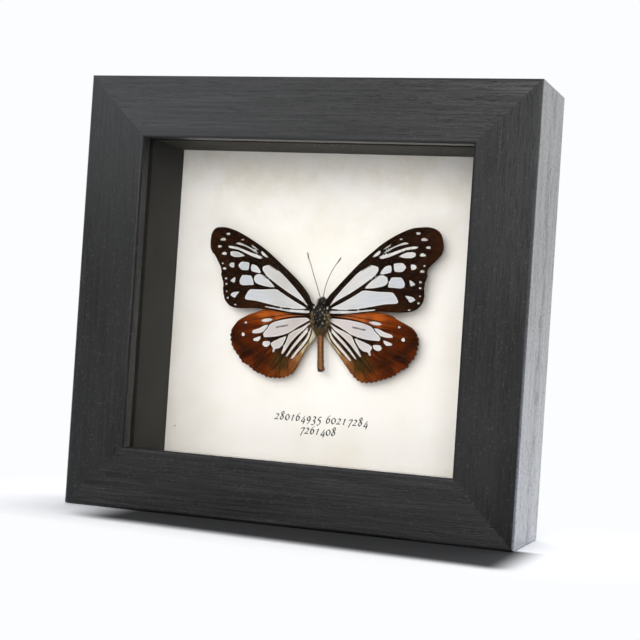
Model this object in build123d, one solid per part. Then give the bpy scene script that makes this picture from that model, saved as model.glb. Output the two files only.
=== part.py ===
from build123d import *
import math
import os

# Butterfly display case: a mitred wooden box frame with a glass front, four spacer strips,
# a card that carries the mounted specimen, and a back panel held by four turn buttons.
# Millimetres. X runs to the right, Y into the case, Z up. The origin is the centre of the
# face the case stands on; the frame's depth is centred on Y = 0.

# ---------------------------------------------------------------- driving dimensions
# frame
frame_width = 150.0
frame_height = 141.0
frame_depth = 36.0
rail_width = 20.0
lip_width = 6.0
lip_depth = 5.0
front_edge_round = 0.9
back_edge_round = 0.6

# what lies in the rabbet, from the front to the back
glass_thickness = 3.0
card_thickness = 0.5
panel_thickness = 3.0
rabbet_clearance = 0.25
sill_drop = 2.75

# V nails, driven into the back of each mitre
v_nail_leg = 4.5
v_nail_thickness = 0.6
v_nail_length = 9.0
v_nails_per_corner = 2

# turn buttons and their screws
button_width = 8.0
button_reach = 16.0
button_thickness = 1.2
button_spread = 70.0
button_gap = 0.1
pivot_clearance = 0.05
screw_shank_radius = 1.4
screw_shank_length = 11.0
screw_head_radius = 3.1
screw_head_height = 1.3

# sawtooth hanger and its nails
hanger_length = 44.0
hanger_height = 9.0
hanger_tab_length = 8.0
hanger_rise = 1.8
hanger_slope_length = 2.0
hanger_thickness = 0.8
hanger_tooth_pitch = 3.2
hanger_tooth_depth = 1.6
hanger_tooth_count = 7
nail_shank_radius = 0.7
nail_length = 9.0
nail_head_radius = 1.9
nail_head_height = 0.5

# specimen, placed by the point where its wings meet the thorax
specimen_x = 0.5
specimen_below_centre = 3.5
wing_above_card = 4.5
wing_layer_step = 1.3
membrane_thickness = 0.45
vein_width = 0.6
vein_rise = 0.2
wing_camber_radius = 260.0
wing_camber_centre = 20.0
body_drop = 0.7
thorax_length = 8.6
thorax_radius = 2.6
wing_base_width = 4.4
thorax_bands = 4
thorax_seat_share = 0.92
neck_radius = 1.35
waist_radius = 1.3
head_radius = 1.25
head_bands = 4
neck_height = 0.75
eye_radius = 0.65
eye_inset = 0.25
face_height = 0.9
palp_length = 1.0
palp_radius = 0.28
palp_spacing = 0.7
palp_offset = 0.35
palp_taper = 8.0
abdomen_length = 13.2
abdomen_radius = 1.2
abdomen_tilt = 4.5
abdomen_segments = 6
abdomen_sides = 16
segment_step = 0.25
antenna_radius = 0.16
antenna_club_radius = 0.3
antenna_club_length = 2.2
antenna_spacing = 0.9
antenna_offset = 0.4
antenna_root_height = 0.5
socket_clearance = 0.04
pad_width = 3.6
pad_height = 6.0
pad_thickness = 2.2

# ---------------------------------------------------------------- derived places
front_y = -frame_depth / 2
back_y = frame_depth / 2
centre_z = frame_height / 2
rail_back_width = rail_width - lip_width
glass_front_y = front_y + lip_depth
spacer_front_y = glass_front_y + glass_thickness
panel_front_y = back_y - panel_thickness
card_front_y = panel_front_y - card_thickness
spacer_depth = card_front_y - spacer_front_y
spacer_thickness = lip_width - rabbet_clearance
sill_thickness = spacer_thickness - sill_drop
rabbet_width = frame_width - 2 * rail_back_width
rabbet_height = frame_height - 2 * rail_back_width
pane_width = rabbet_width - 2 * rabbet_clearance
pane_height = rabbet_height - 2 * rabbet_clearance
through = frame_width + frame_height

specimen_z = centre_z - specimen_below_centre
forewing_y = card_front_y - wing_above_card - wing_layer_step / 2
hindwing_y = card_front_y - wing_above_card + wing_layer_step / 2
body_y = card_front_y - pad_thickness - thorax_radius * thorax_seat_share
facet_x = wing_base_width / 2

# ---------------------------------------------------------------- wing drawings
# X and Z from where the wings meet the thorax, for the right wings, root first.
forewing_costa = [(0.8, 2.8), (4.5, 8.9), (9.5, 14.8), (19.5, 24.2), (29.5, 29.8), (36.0, 30.2), (39.6, 26.6)]
forewing_margin = [(39.6, 26.6), (39.9, 22.8), (35.5, 16.2), (34.7, 11.0), (34.6, 7.0)]
forewing_inner = [(34.6, 7.0), (31.0, 3.0), (24.5, 2.1), (14.5, 1.5), (6.5, 0.9), (0.8, 0.8)]
hindwing_costa = [(0.6, 0.1), (9.5, 1.3), (18.0, 2.2), (25.0, 0.6), (31.2, -2.5), (33.7, -6.7)]
hindwing_margin = [(33.7, -6.7), (33.2, -11.0), (30.5, -15.3), (24.5, -19.2), (16.5, -21.4), (12.6, -20.0)]
hindwing_inner = [(12.6, -20.0), (9.0, -15.8), (4.0, -10.2), (1.6, -6.2), (0.6, -4.6)]

forewing_veins = [
    [(1.2, 3.2), (15.6, 17.6), (19.4, 20.2), (38.2, 25.8)],
    [(1.2, 2.6), (13.7, 9.2), (18.7, 14.4), (18.8, 19.6)],
    [(13.7, 9.2), (34.0, 9.0)],
    [(18.7, 14.4), (34.4, 14.0)],
    [(18.8, 17.4), (36.6, 19.2)],
    [(19.4, 20.2), (38.6, 22.2)],
    [(1.2, 2.2), (9.5, 2.2), (33.4, 5.4)],
]
hindwing_veins = [
    [(1.2, -0.8), (9.5, -0.6), (18.0, -3.3), (20.8, -6.2), (32.8, -7.6)],
    [(1.2, -1.2), (11.1, -6.3), (20.6, -6.9)],
    [(15.5, -7.1), (18.2, -8.4), (28.6, -15.8)],
    [(11.1, -6.3), (13.8, -9.6), (22.4, -19.0)],
    [(1.2, -2.2), (13.2, -12.8), (16.4, -20.2)],
    [(1.2, -2.8), (4.5, -7.6), (12.6, -18.6)],
]

# A pinned specimen is never quite even: each left wing is the right one's drawing carried
# over to its own root, tip and lower corner.
forewing_corners = [(2.3, 2.5), (33.5, 30.3), (30.5, 3.0)]
left_forewing_corners = [(-4.1, 2.1), (-37.0, 27.3), (-30.9, 1.4)]
hindwing_corners = [(2.3, -1.6), (33.5, -7.0), (16.5, -21.3)]
left_hindwing_corners = [(-4.1, -1.8), (-32.1, -9.0), (-13.5, -22.2)]

# antenna centre lines: a point half way, and where the club begins
right_antenna_line = [(2.1, 13.9), (4.8, 18.3)]
left_antenna_line = [(-3.9, 13.9), (-5.5, 19.2)]


# ways a shape stands on its own origin
UPWARD = (Align.CENTER, Align.CENTER, Align.MIN)
DOWNWARD = (Align.CENTER, Align.CENTER, Align.MAX)
FROM_FRONT = (Align.CENTER, Align.MIN, Align.CENTER)


# ---------------------------------------------------------------- frame
def rail(length, distance):
    """A bottom rail: its L section swept along X and mitred, its outer edge `distance`
    below the frame's centre."""
    section_plane = Plane(origin=(0, front_y, -distance), x_dir=(0, 0, 1), z_dir=(-1, 0, 0))
    section = Polyline(
        (0, 0),
        (rail_width, 0),
        (rail_width, lip_depth),
        (rail_back_width, lip_depth),
        (rail_back_width, frame_depth),
        (0, frame_depth),
        close=True,
    )
    profile = make_face(section)
    profile = fillet(profile.vertices().group_by(Axis.Y)[0], front_edge_round)
    profile = fillet(profile.vertices().group_by(Axis.Y)[-1].sort_by(Axis.X)[0], back_edge_round)
    bar = extrude(section_plane * profile, length / 2, both=True)
    half = length / 2
    mitre = Polyline(
        (-half, -distance),
        (half, -distance),
        (half - rail_width, rail_width - distance),
        (rail_width - half, rail_width - distance),
        close=True,
    )
    return bar & extrude(Plane.XZ * make_face(mitre), frame_depth, both=True)


def v_nail(corner_x, corner_z, step):
    """One V nail on a mitre, its two legs each in one rail; step counts along the mitre."""
    to_centre_x = -math.copysign(1, corner_x)
    to_centre_z = -math.copysign(1, corner_z)
    inset = rail_back_width * step / (v_nails_per_corner + 1)
    leg = v_nail_leg + v_nail_thickness / 2
    flat = Box(leg, v_nail_length, v_nail_thickness, align=(Align.MIN, Align.MAX, Align.CENTER))
    flat = Pos(-v_nail_thickness / 2, 0, 0) * flat
    upright = Box(v_nail_thickness, v_nail_length, leg, align=(Align.CENTER, Align.MAX, Align.MIN))
    upright = Pos(0, 0, -v_nail_thickness / 2) * upright
    nail = flat + upright
    if to_centre_x < 0:
        nail = mirror(nail, Plane.YZ)
    if to_centre_z < 0:
        nail = mirror(nail, Plane.XY)
    return Pos(corner_x + to_centre_x * inset, back_y, corner_z + to_centre_z * inset) * nail


def v_nails():
    """All the V nails, about the frame's centre."""
    nails = []
    for side_x in (-1, 1):
        for side_z in (-1, 1):
            for step in range(1, v_nails_per_corner + 1):
                nails.append(v_nail(side_x * frame_width / 2, side_z * frame_height / 2, step))
    return nails


def along_y(shape):
    """Turns a shape that stands along Z so that it points out of the back, along Y."""
    return Rot(-90, 0, 0) * shape


# ---------------------------------------------------------------- back fittings
def button_places():
    """Name and pivot of each turn button, on the side rails' back faces."""
    pivot_x = frame_width / 2 - rail_back_width / 2
    places = {}
    for side, side_x in (("left", -1), ("right", 1)):
        for level, side_z in (("lower", -1), ("upper", 1)):
            places[f"{level}_{side}_turn_button"] = (side_x * pivot_x, centre_z + side_z * button_spread / 2)
    return places


def turn_button(pivot_x, pivot_z):
    """A steel strip with round ends, its finger pointing inward over the back panel."""
    inward = -math.copysign(1, pivot_x)
    end_round = button_width / 2
    finger = button_reach - end_round
    outline = Circle(end_round) + Pos(finger * inward, 0) * Circle(end_round)
    outline += Pos(finger * inward / 2, 0) * Rectangle(finger, button_width)
    outline -= Circle(screw_shank_radius + pivot_clearance)
    # Plane.XZ faces -Y, so the strip is drawn on the plane that its outer face lies in.
    outer_face = Plane.XZ.offset(-(back_y + button_gap + button_thickness))
    strip = extrude(outer_face * outline, button_thickness)
    return Pos(pivot_x, 0, pivot_z) * strip


def screw():
    """A wood screw with a flat cheese head along Z, the underside of its head at Z = 0."""
    head = Cylinder(screw_head_radius, screw_head_height, align=UPWARD)
    shank = Cylinder(screw_shank_radius, screw_shank_length, align=DOWNWARD)
    return head + shank


def screws():
    """The four screws that the turn buttons swing on."""
    under_head_y = back_y + button_thickness + 2 * button_gap
    return [Pos(x, under_head_y, z) * along_y(screw()) for x, z in button_places().values()]


def screw_holes():
    """The room that the screws take in the side rails."""
    depth = screw_shank_length - button_thickness - 2 * button_gap + pivot_clearance
    hole = Cylinder(screw_shank_radius + pivot_clearance, depth, align=DOWNWARD)
    return [Pos(x, back_y, z) * along_y(hole) for x, z in button_places().values()]


def hanger_z():
    """The hanger sits on the middle of the top rail's back."""
    return frame_height - rail_back_width / 2


def hanger_nail_places():
    tab_centre = hanger_length / 2 - hanger_tab_length / 2
    return [(-tab_centre, hanger_z()), (tab_centre, hanger_z())]


def sawtooth_hanger():
    """A steel strip that stands off the rail between two nailed tabs, its lower edge toothed."""
    tab_end = hanger_length / 2
    foot = tab_end - hanger_tab_length
    shoulder = foot - hanger_slope_length
    lower = [(-tab_end, 0), (-foot, 0), (-shoulder, hanger_rise), (shoulder, hanger_rise), (foot, 0), (tab_end, 0)]
    upper = [(x, y + hanger_thickness) for x, y in reversed(lower)]
    strip_section = make_face(Polyline(*lower, *upper, close=True))
    strip = extrude(Pos(0, back_y, 0) * strip_section, hanger_height / 2, both=True)
    for index in range(hanger_tooth_count):
        tooth_x = (index - (hanger_tooth_count - 1) / 2) * hanger_tooth_pitch
        notch = Polyline(
            (tooth_x - hanger_tooth_pitch / 2, -hanger_height / 2),
            (tooth_x, -hanger_height / 2 + hanger_tooth_depth),
            (tooth_x + hanger_tooth_pitch / 2, -hanger_height / 2),
            close=True,
        )
        strip -= extrude(Plane.XZ * make_face(notch), through, both=True)
    strip = Pos(0, 0, hanger_z()) * strip
    for x, z in hanger_nail_places():
        strip -= Pos(x, back_y, z) * along_y(Cylinder(nail_shank_radius + pivot_clearance, nail_length))
    return strip


def hanger_nails():
    """The two nails through the hanger's tabs."""
    nails = []
    for x, z in hanger_nail_places():
        head = Cylinder(nail_head_radius, nail_head_height, align=UPWARD)
        shank = Cylinder(nail_shank_radius, nail_length, align=DOWNWARD)
        nails.append(Pos(x, back_y + hanger_thickness, z) * along_y(head + shank))
    return nails


def nail_holes():
    depth = nail_length - hanger_thickness + pivot_clearance
    hole = Cylinder(nail_shank_radius + pivot_clearance, depth, align=DOWNWARD)
    return [Pos(x, back_y, z) * along_y(hole) for x, z in hanger_nail_places()]


# ---------------------------------------------------------------- what the rabbet holds
def sheet(width, height, front, thickness):
    """A flat sheet centred in the frame, its front face at Y = front."""
    box = Box(width, thickness, height, align=FROM_FRONT)
    return Pos(0, front, centre_z) * box


def spacers():
    """The strips that hold the card away from the glass: top and bottom run the full width
    of the rabbet, and the side ones stand between them. The top and side ones come flush with
    the lip, and the bottom one, the sill, lies lower, out of sight behind it."""
    foot_z = centre_z - pane_height / 2
    upright_length = pane_height - spacer_thickness - sill_thickness
    upright = Box(spacer_thickness, spacer_depth, upright_length, align=(Align.MIN, Align.MIN, Align.MIN))
    bottom = Pos(0, spacer_front_y, foot_z) * Box(
        pane_width, spacer_depth, sill_thickness, align=(Align.CENTER, Align.MIN, Align.MIN)
    )
    top = Pos(0, spacer_front_y, foot_z + pane_height) * Box(
        pane_width, spacer_depth, spacer_thickness, align=(Align.CENTER, Align.MIN, Align.MAX)
    )
    left = Pos(-pane_width / 2, spacer_front_y, foot_z + sill_thickness) * upright
    right = Pos(pane_width / 2 - spacer_thickness, spacer_front_y, foot_z + sill_thickness) * upright
    return {"bottom_spacer": bottom, "top_spacer": top, "left_spacer": left, "right_spacer": right}


# ---------------------------------------------------------------- specimen
def carried(point, corners, own_corners):
    """Carries a point of the drawing from its three corners to the wing's own three."""
    (ax, az), (bx, bz), (cx, cz) = corners
    x, z = point
    area = (bx - ax) * (cz - az) - (cx - ax) * (bz - az)
    share_b = ((x - ax) * (cz - az) - (cx - ax) * (z - az)) / area
    share_c = ((bx - ax) * (z - az) - (x - ax) * (bz - az)) / area
    shares = (1 - share_b - share_c, share_b, share_c)
    own_x = sum(share * corner[0] for share, corner in zip(shares, own_corners))
    own_z = sum(share * corner[1] for share, corner in zip(shares, own_corners))
    return own_x, own_z


def camber_band(layer_y, thickness, side):
    """A thin upright shell, bowed a little towards the glass, that gives a wing its camber.
    Its back lies in the wing's layer, and it grows towards the glass."""
    outer = Cylinder(wing_camber_radius + thickness, 2 * through)
    inner = Cylinder(wing_camber_radius, 2 * through)
    near = Pos(0, -wing_camber_radius, 0) * Box(through, wing_camber_radius, 2 * through)
    band = (outer - inner) & near
    return Pos(side * wing_camber_centre, layer_y + wing_camber_radius, 0) * band


def wing(edges, veins, layer_y, side):
    """A membrane with raised veins on the side that faces the glass, cut square at the thorax."""
    costa, margin, inner = edges
    outline = make_face([Spline(*costa), Spline(*margin), Spline(*inner), Line(inner[-1], costa[0])])
    blank = extrude(Plane.XZ * outline, frame_depth * 2, both=True)
    membrane = blank & camber_band(layer_y, membrane_thickness, side)
    ribs = Sketch()
    for vein in veins:
        ribs += trace(Polyline(*vein), vein_width)
    ribs = extrude(Plane.XZ * ribs, frame_depth * 2, both=True)
    ribs = ribs & blank & camber_band(layer_y, membrane_thickness + vein_rise, side)
    base = Box(2 * facet_x, through, through)
    return Pos(specimen_x, 0, specimen_z) * ((membrane + ribs) - base)


def wings():
    """All four wings, the forewings a layer nearer the glass than the hindwings."""
    forewing = ((forewing_costa, forewing_margin, forewing_inner), forewing_veins, forewing_y)
    hindwing = ((hindwing_costa, hindwing_margin, hindwing_inner), hindwing_veins, hindwing_y)
    made = {}
    for name, drawing, corners, left_corners in (
        ("forewing", forewing, forewing_corners, left_forewing_corners),
        ("hindwing", hindwing, hindwing_corners, left_hindwing_corners),
    ):
        edges, veins, layer_y = drawing
        made[f"right_{name}"] = wing(edges, veins, layer_y, 1)
        left_edges = [[carried(point, corners, left_corners) for point in edge] for edge in edges]
        left_veins = [[carried(point, corners, left_corners) for point in vein] for vein in veins]
        made[f"left_{name}"] = wing(left_edges, left_veins, layer_y, -1)
    return made


def abdomen_place():
    """Where the abdomen joins the thorax: it points down and leans a little to the right."""
    return Pos(0, 0, -thorax_length / 2) * Rot(0, 180 - abdomen_tilt, 0)


def thorax():
    """A barrel with a flat where the wings join each side, a flat neck, a flat waist and a
    flat underside on the riser pad."""
    half = thorax_length / 2
    bow = ThreePointArc((waist_radius, -half), (thorax_radius, 0), (neck_radius, half))
    side = [bow @ (step / thorax_bands) for step in range(thorax_bands + 1)]
    outline = Polyline(*side, (0, half), (0, -half), close=True)
    body = revolve(Plane.XZ * make_face(outline), Axis.Z)
    body &= Box(wing_base_width, 2 * thorax_radius, thorax_length)
    underside = thorax_radius * thorax_seat_share
    room = Box(through, through, through, align=(Align.CENTER, Align.MAX, Align.CENTER))
    body &= Pos(0, underside, 0) * room
    behind_waist = Box(through, through, through, align=UPWARD)
    return body - abdomen_place() * behind_waist


def abdomen():
    """A slim abdomen of overlapping many-sided rings, each a little wider where it ends, with
    a blunt tip."""
    step = abdomen_length / abdomen_segments
    narrow = abdomen_radius - segment_step
    flare = math.degrees(math.atan2(segment_step, step))
    ring = extrude(RegularPolygon(narrow, abdomen_sides), step, taper=-flare)
    body = extrude(RegularPolygon(narrow, abdomen_sides), narrow / 2, taper=45)
    body = Pos(0, 0, abdomen_length) * body
    for index in range(abdomen_segments):
        body += Pos(0, 0, index * step) * ring
    return abdomen_place() * body


def head_centre():
    return Vector(0, 0, thorax_length / 2 + neck_height)


def antenna_bow(line):
    """The arc an antenna follows, from its root inside the head."""
    side = math.copysign(1, line[0][0])
    root = head_centre() + Vector(side * antenna_spacing / 2, -antenna_offset, antenna_root_height)
    middle, club = [Vector(x, -antenna_offset, z) for x, z in line]
    return ThreePointArc(root, middle, club)


def antenna(line):
    """A thin bowed six-sided rod that ends in a club."""
    bow = antenna_bow(line)
    rod = sweep(Plane(bow @ 0, z_dir=bow % 0) * RegularPolygon(antenna_radius, 6), path=bow)
    club = extrude(RegularPolygon(antenna_club_radius, 6), antenna_club_length)
    club = chamfer(club.faces().sort_by(Axis.Z)[-1].edges(), antenna_club_radius * 0.6)
    return rod + Plane(bow @ 1, z_dir=bow % 1) * club


def antenna_socket(line):
    """The socket that an antenna stands in, with a little room round it."""
    bow = antenna_bow(line)
    socket = extrude(RegularPolygon(antenna_radius + socket_clearance, 6), 2 * head_radius)
    return Plane(bow @ 0, z_dir=bow % 0) * socket


def head():
    """A ball with flats for the neck, the eyes and the palps, and a socket for each antenna."""
    bow = ThreePointArc((0.01, -head_radius), (head_radius, 0), (0.01, head_radius))
    side = [bow @ (step / head_bands) for step in range(head_bands + 1)]
    ball = revolve(Plane.XZ * make_face(Polyline(*side, close=True)), Axis.Z)
    ball &= Box(2 * (head_radius - eye_inset), 2 * head_radius, 2 * head_radius)
    ball &= Pos(0, 0, face_height) * Box(through, through, through, align=DOWNWARD)
    ball = Pos(head_centre()) * ball
    ball &= Pos(0, 0, thorax_length / 2) * Box(through, through, through, align=UPWARD)
    for line in (left_antenna_line, right_antenna_line):
        ball -= antenna_socket(line)
    return ball


def compound_eyes():
    """Two blunt cones on the sides of the head."""
    eyes = []
    for side in (-1, 1):
        dome = Cone(eye_radius, eye_radius / 2, eye_radius, align=UPWARD)
        dome = Rot(0, side * 90, 0) * dome
        eyes.append(Pos(head_centre()) * Pos(side * (head_radius - eye_inset), 0, 0) * dome)
    return eyes


def palps():
    """The two scaly feelers that stand on the face, on the card's side."""
    made = []
    for side in (-1, 1):
        palp = extrude(RegularPolygon(palp_radius, 6), palp_length, taper=palp_taper)
        made.append(Pos(head_centre()) * Pos(side * palp_spacing / 2, palp_offset, face_height) * palp)
    return made


def riser_pad():
    """The small block that the thorax is glued to, which lifts the wings off the card."""
    pad = Box(pad_width, pad_thickness, pad_height, align=(Align.CENTER, Align.MAX, Align.CENTER))
    pad = fillet(pad.edges().filter_by(Axis.Y), pad_width * 0.2)
    return Pos(specimen_x, card_front_y, specimen_z - body_drop) * pad


# ---------------------------------------------------------------- assembly
parts = {}

to_centre = Pos(0, 0, centre_z)
nails = [to_centre * nail for nail in v_nails()]
bottom_rail = rail(frame_width, frame_height / 2)
side_rail = rail(frame_height, frame_width / 2)
parts["bottom_rail"] = to_centre * bottom_rail
parts["top_rail"] = to_centre * Rot(0, 180, 0) * bottom_rail
parts["left_rail"] = to_centre * Rot(0, 90, 0) * side_rail
parts["right_rail"] = to_centre * Rot(0, -90, 0) * side_rail
for name in ("bottom_rail", "top_rail", "left_rail", "right_rail"):
    for nail in nails:
        parts[name] -= nail
for hole in screw_holes():
    side = "left_rail" if hole.center().X < 0 else "right_rail"
    parts[side] -= hole
for hole in nail_holes():
    parts["top_rail"] -= hole
parts["corner_v_nails"] = Compound(children=nails)

parts["glass_pane"] = sheet(pane_width, pane_height, glass_front_y, glass_thickness)
parts.update(spacers())
parts["mount_card"] = sheet(pane_width, pane_height, card_front_y, card_thickness)
parts["back_panel"] = sheet(pane_width, pane_height, panel_front_y, panel_thickness)

for name, (pivot_x, pivot_z) in button_places().items():
    parts[name] = turn_button(pivot_x, pivot_z)
parts["turn_button_screws"] = Compound(children=screws())
parts["sawtooth_hanger"] = sawtooth_hanger()
parts["hanger_nails"] = Compound(children=hanger_nails())

parts.update(wings())
in_body = Pos(specimen_x, body_y, specimen_z - body_drop)
parts["riser_pad"] = riser_pad()
parts["thorax"] = in_body * thorax()
parts["abdomen"] = in_body * abdomen()
parts["head"] = in_body * head()
parts["compound_eyes"] = Compound(children=[in_body * eye for eye in compound_eyes()])
parts["labial_palps"] = Compound(children=[in_body * palp for palp in palps()])
parts["left_antenna"] = in_body * antenna(left_antenna_line)
parts["right_antenna"] = in_body * antenna(right_antenna_line)

os.makedirs("parts", exist_ok=True)
for name, shape in parts.items():
    export_step(shape, f"parts/{name}.step")
    print(name, len(shape.solids()), "solids", round(shape.volume, 2), "mm3")
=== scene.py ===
# %% [markdown]
# # Butterfly display case
# A box frame of black stained wood holds a pane of glass, four spacer strips and a cream card.
# One spread butterfly stands a few millimetres off the card. The joinery comes from the CAD
# model; this lesson gives it surfaces, and models the butterfly, the printed numbers and the
# small hardware that a CAD solid is too plain for.

# %% Load the fixed frame
import math
import bmesh
import bpy
import numpy as np
from mathutils import Matrix, Vector
from mathutils.geometry import delaunay_2d_cdt


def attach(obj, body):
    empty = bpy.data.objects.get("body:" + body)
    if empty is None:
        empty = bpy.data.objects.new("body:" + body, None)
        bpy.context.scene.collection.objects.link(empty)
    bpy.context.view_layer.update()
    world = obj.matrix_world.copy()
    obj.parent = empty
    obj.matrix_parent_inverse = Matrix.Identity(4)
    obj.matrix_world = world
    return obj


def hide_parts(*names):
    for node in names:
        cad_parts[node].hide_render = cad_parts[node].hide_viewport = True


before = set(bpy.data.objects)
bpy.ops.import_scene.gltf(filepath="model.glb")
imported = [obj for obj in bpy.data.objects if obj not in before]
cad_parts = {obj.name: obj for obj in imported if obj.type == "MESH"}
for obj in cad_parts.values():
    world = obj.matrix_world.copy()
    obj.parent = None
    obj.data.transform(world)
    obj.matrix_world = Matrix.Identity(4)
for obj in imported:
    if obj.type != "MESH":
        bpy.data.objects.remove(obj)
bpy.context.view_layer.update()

# %% Sizes of the case in metres
MM = 0.001
HALF_WIDTH = 0.075
FRONT = -0.018
RAIL_WIDTH = 0.020
SPECIMEN_X = 0.5
print("the case is", 2 * HALF_WIDTH, "wide, and the butterfly's middle is at x =", SPECIMEN_X, "mm")

# %% [markdown]
# ## The camera
# The case is seen from a little to its right, at half its height, with the camera tipped a
# few degrees. A moderate telephoto keeps the far edge of the box only slightly smaller than
# the near one.

# %% Camera
def add_object(name, data):
    """A new object in the scene."""
    thing = bpy.data.objects.new(name, data)
    bpy.context.scene.collection.objects.link(thing)
    return thing


camera_data = bpy.data.cameras.new("camera")
camera_data.lens = 86.24
camera_data.sensor_width = 36.0
camera = add_object("camera", camera_data)
camera.location = (0.16628, -0.46817, 0.06101)
camera.rotation_euler = [math.radians(angle) for angle in (90.491, -3.773, 19.141)]
bpy.context.scene.camera = camera
bpy.context.scene.view_settings.view_transform = "Standard"
print("camera looks from", tuple(camera.location))

# %% [markdown]
# ## A short way to write node trees
# Every finish here is a small node tree, and so are the sky and the growing things further on.
# These helpers add a node, set what it needs and join it up in one line, so that a material
# reads like its recipe. A colour is written as a paint chart gives it, 0 to 255, and turned
# into the linear light that shaders work in.

# %% Colour and tree helpers
def chart(red, green, blue):
    """A chart colour, 0 to 255, as linear light."""
    shares = [value / 255 for value in (red, green, blue)]
    linear = [s / 12.92 if s <= 0.04045 else ((s + 0.055) / 1.055) ** 2.4 for s in shares]
    return (*linear, 1.0)


class Tree:
    """Short ways to add nodes to a tree and to join them."""

    prefix = "ShaderNode"

    def __init__(self, tree):
        self.nodes = tree.nodes
        self.links = tree.links

    def put(self, value, socket):
        """Joins a node's output to a socket, or writes a plain value into it. Three numbers
        for a colour socket are a chart colour."""
        if hasattr(value, "is_linked"):
            self.links.new(value, socket)
        elif socket.type == "RGBA":
            socket.default_value = chart(*value)
        else:
            socket.default_value = value

    def add(self, kind, inputs=(), result=0, **properties):
        """Adds a node, fills its inputs by name or number and gives one of its outputs."""
        whole_name = kind.startswith(("FunctionNode", "ShaderNode"))
        node = self.nodes.new(kind if whole_name else self.prefix + kind)
        for key, value in properties.items():
            setattr(node, key, value)
        for key, value in dict(inputs).items():
            self.put(value, node.inputs[key])
        return node.outputs[result]

    def math(self, operation, first, second=0.0):
        return self.add("ShaderNodeMath", {0: first, 1: second}, operation=operation)

    def times(self, first, second):
        return self.math("MULTIPLY", first, second)

    def plus(self, first, second):
        return self.math("ADD", first, second)


print("a chart grey of 128 is", round(chart(128, 128, 128)[0], 3), "in linear light")

# %% Material helpers
class Recipe(Tree):
    """A material and its node tree, with one Principled shader."""

    def __init__(self, name, **settings):
        self.material = bpy.data.materials.new(name)
        self.material.use_nodes = True
        super().__init__(self.material.node_tree)
        self.shader = self.nodes["Principled BSDF"]
        self.surface = self.nodes["Material Output"].inputs["Surface"]
        self.finish(**settings)

    def place(self, stretch, turn=(0, 0, 0), uv=None):
        """Places on the object in metres, or on its named map, stretched and turned."""
        point = self.add("UVMap", uv_map=uv) if uv else self.add("TexCoord", result="Object")
        if isinstance(stretch, int):
            stretch = (stretch,) * 3
        angles = [math.radians(angle) for angle in turn]
        return self.add("Mapping", {"Vector": point, "Scale": stretch, "Rotation": angles})

    def axes(self):
        """The place on the object in metres, and its X, Y and Z apart."""
        point = self.add("TexCoord", result="Object")
        return point, self.add("SeparateXYZ", {0: point}).node.outputs

    def stored(self, name, result="Fac"):
        """A value that the mesh carries at its corners."""
        return self.add("Attribute", result=result, attribute_name=name)

    def noise(self, point, scale=1.0, detail=3.0, roughness=0.55, distortion=0.0):
        """Noise by a place, or by how the object's own place is stretched."""
        if not hasattr(point, "is_linked"):
            point = self.place(point)
        settings = {"Vector": point, "Scale": scale, "Detail": detail}
        settings.update({"Roughness": roughness, "Distortion": distortion})
        return self.add("TexNoise", settings, result="Fac")

    def ramp(self, factor, low, high, out_low=0.0, out_high=1.0):
        """Carries low..high to out_low..out_high with soft ends."""
        settings = {"Value": factor, "From Min": low, "From Max": high}
        settings.update({"To Min": out_low, "To Max": out_high})
        return self.add("MapRange", settings, interpolation_type="SMOOTHSTEP")

    def mix(self, share, first, second, blend="MIX"):
        """Mixes two colours."""
        mixed = self.add("Mix", {0: share}, data_type="RGBA", blend_type=blend).node
        colours = [socket for socket in mixed.inputs if socket.type == "RGBA"]
        self.put(first, colours[0])
        self.put(second, colours[1])
        return [socket for socket in mixed.outputs if socket.type == "RGBA"][0]

    def wash(self, tone, colour, factor, *span):
        """Lays a colour over a tone, as strongly as the factor's ramp says."""
        return self.mix(self.ramp(factor, *span), tone, colour)

    def bump(self, height, depth, strength=1.0):
        """Lifts the surface by height times depth metres, in its shading only."""
        return self.add("Bump", {"Height": height, "Distance": depth, "Strength": strength})

    def finish(self, **sockets):
        """Joins the outputs given by name to the shader and gives the material."""
        for socket, value in sockets.items():
            self.put(value, self.shader.inputs[socket.replace("_", " ")])
        return self.material


def dress(node_name, material):
    """Puts a material on a CAD node."""
    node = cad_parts[node_name]
    node.data.materials.clear()
    node.data.materials.append(material)
    print(node_name, "wears", material.name)


print(len(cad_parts), "CAD nodes to dress or to stand in for")

# %% [markdown]
# ## The sky
# The case stands on a white sweep that curves up behind it, in a room that is dim behind the
# camera. So the light of the sky is white towards +Y and dim towards -Y: the white half lights
# the floor from behind, which leaves the soft shadow at the foot of the case. To the eye, in
# gloss and through glass the sky is white all round. One world shader can do both, because it
# can tell which kind of ray has reached it.

# %% The sky
BACKDROP = (252, 253, 255)
ROOM_SHARE = 0.28
SEEN_RAYS = ("Is Camera Ray", "Is Glossy Ray", "Is Transmission Ray")


def make_world():
    """White for the eye, in gloss and through glass. As light on the case the sky is white
    towards +Y and dim towards -Y."""
    world = bpy.data.worlds.new("studio")
    world.use_nodes = True
    sky = Tree(world.node_tree)
    sky.nodes.clear()
    point = sky.add("TexCoord", result="Generated")
    behind = sky.add("SeparateXYZ", {0: point}, result="Y")
    ends = {"Value": behind, "From Min": -0.25, "From Max": 0.15, "To Min": ROOM_SHARE}
    level = sky.add("MapRange", ends)
    path = sky.add("LightPath").node.outputs
    for ray in SEEN_RAYS:
        level = sky.math("MAXIMUM", level, path[ray])
    light = sky.add("Background", {"Color": BACKDROP, "Strength": level})
    output = sky.nodes.new("ShaderNodeOutputWorld")
    sky.put(light, output.inputs["Surface"])
    bpy.context.scene.world = world


make_world()
print("the sky behind the camera has", ROOM_SHARE, "of the backdrop's light")

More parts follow.
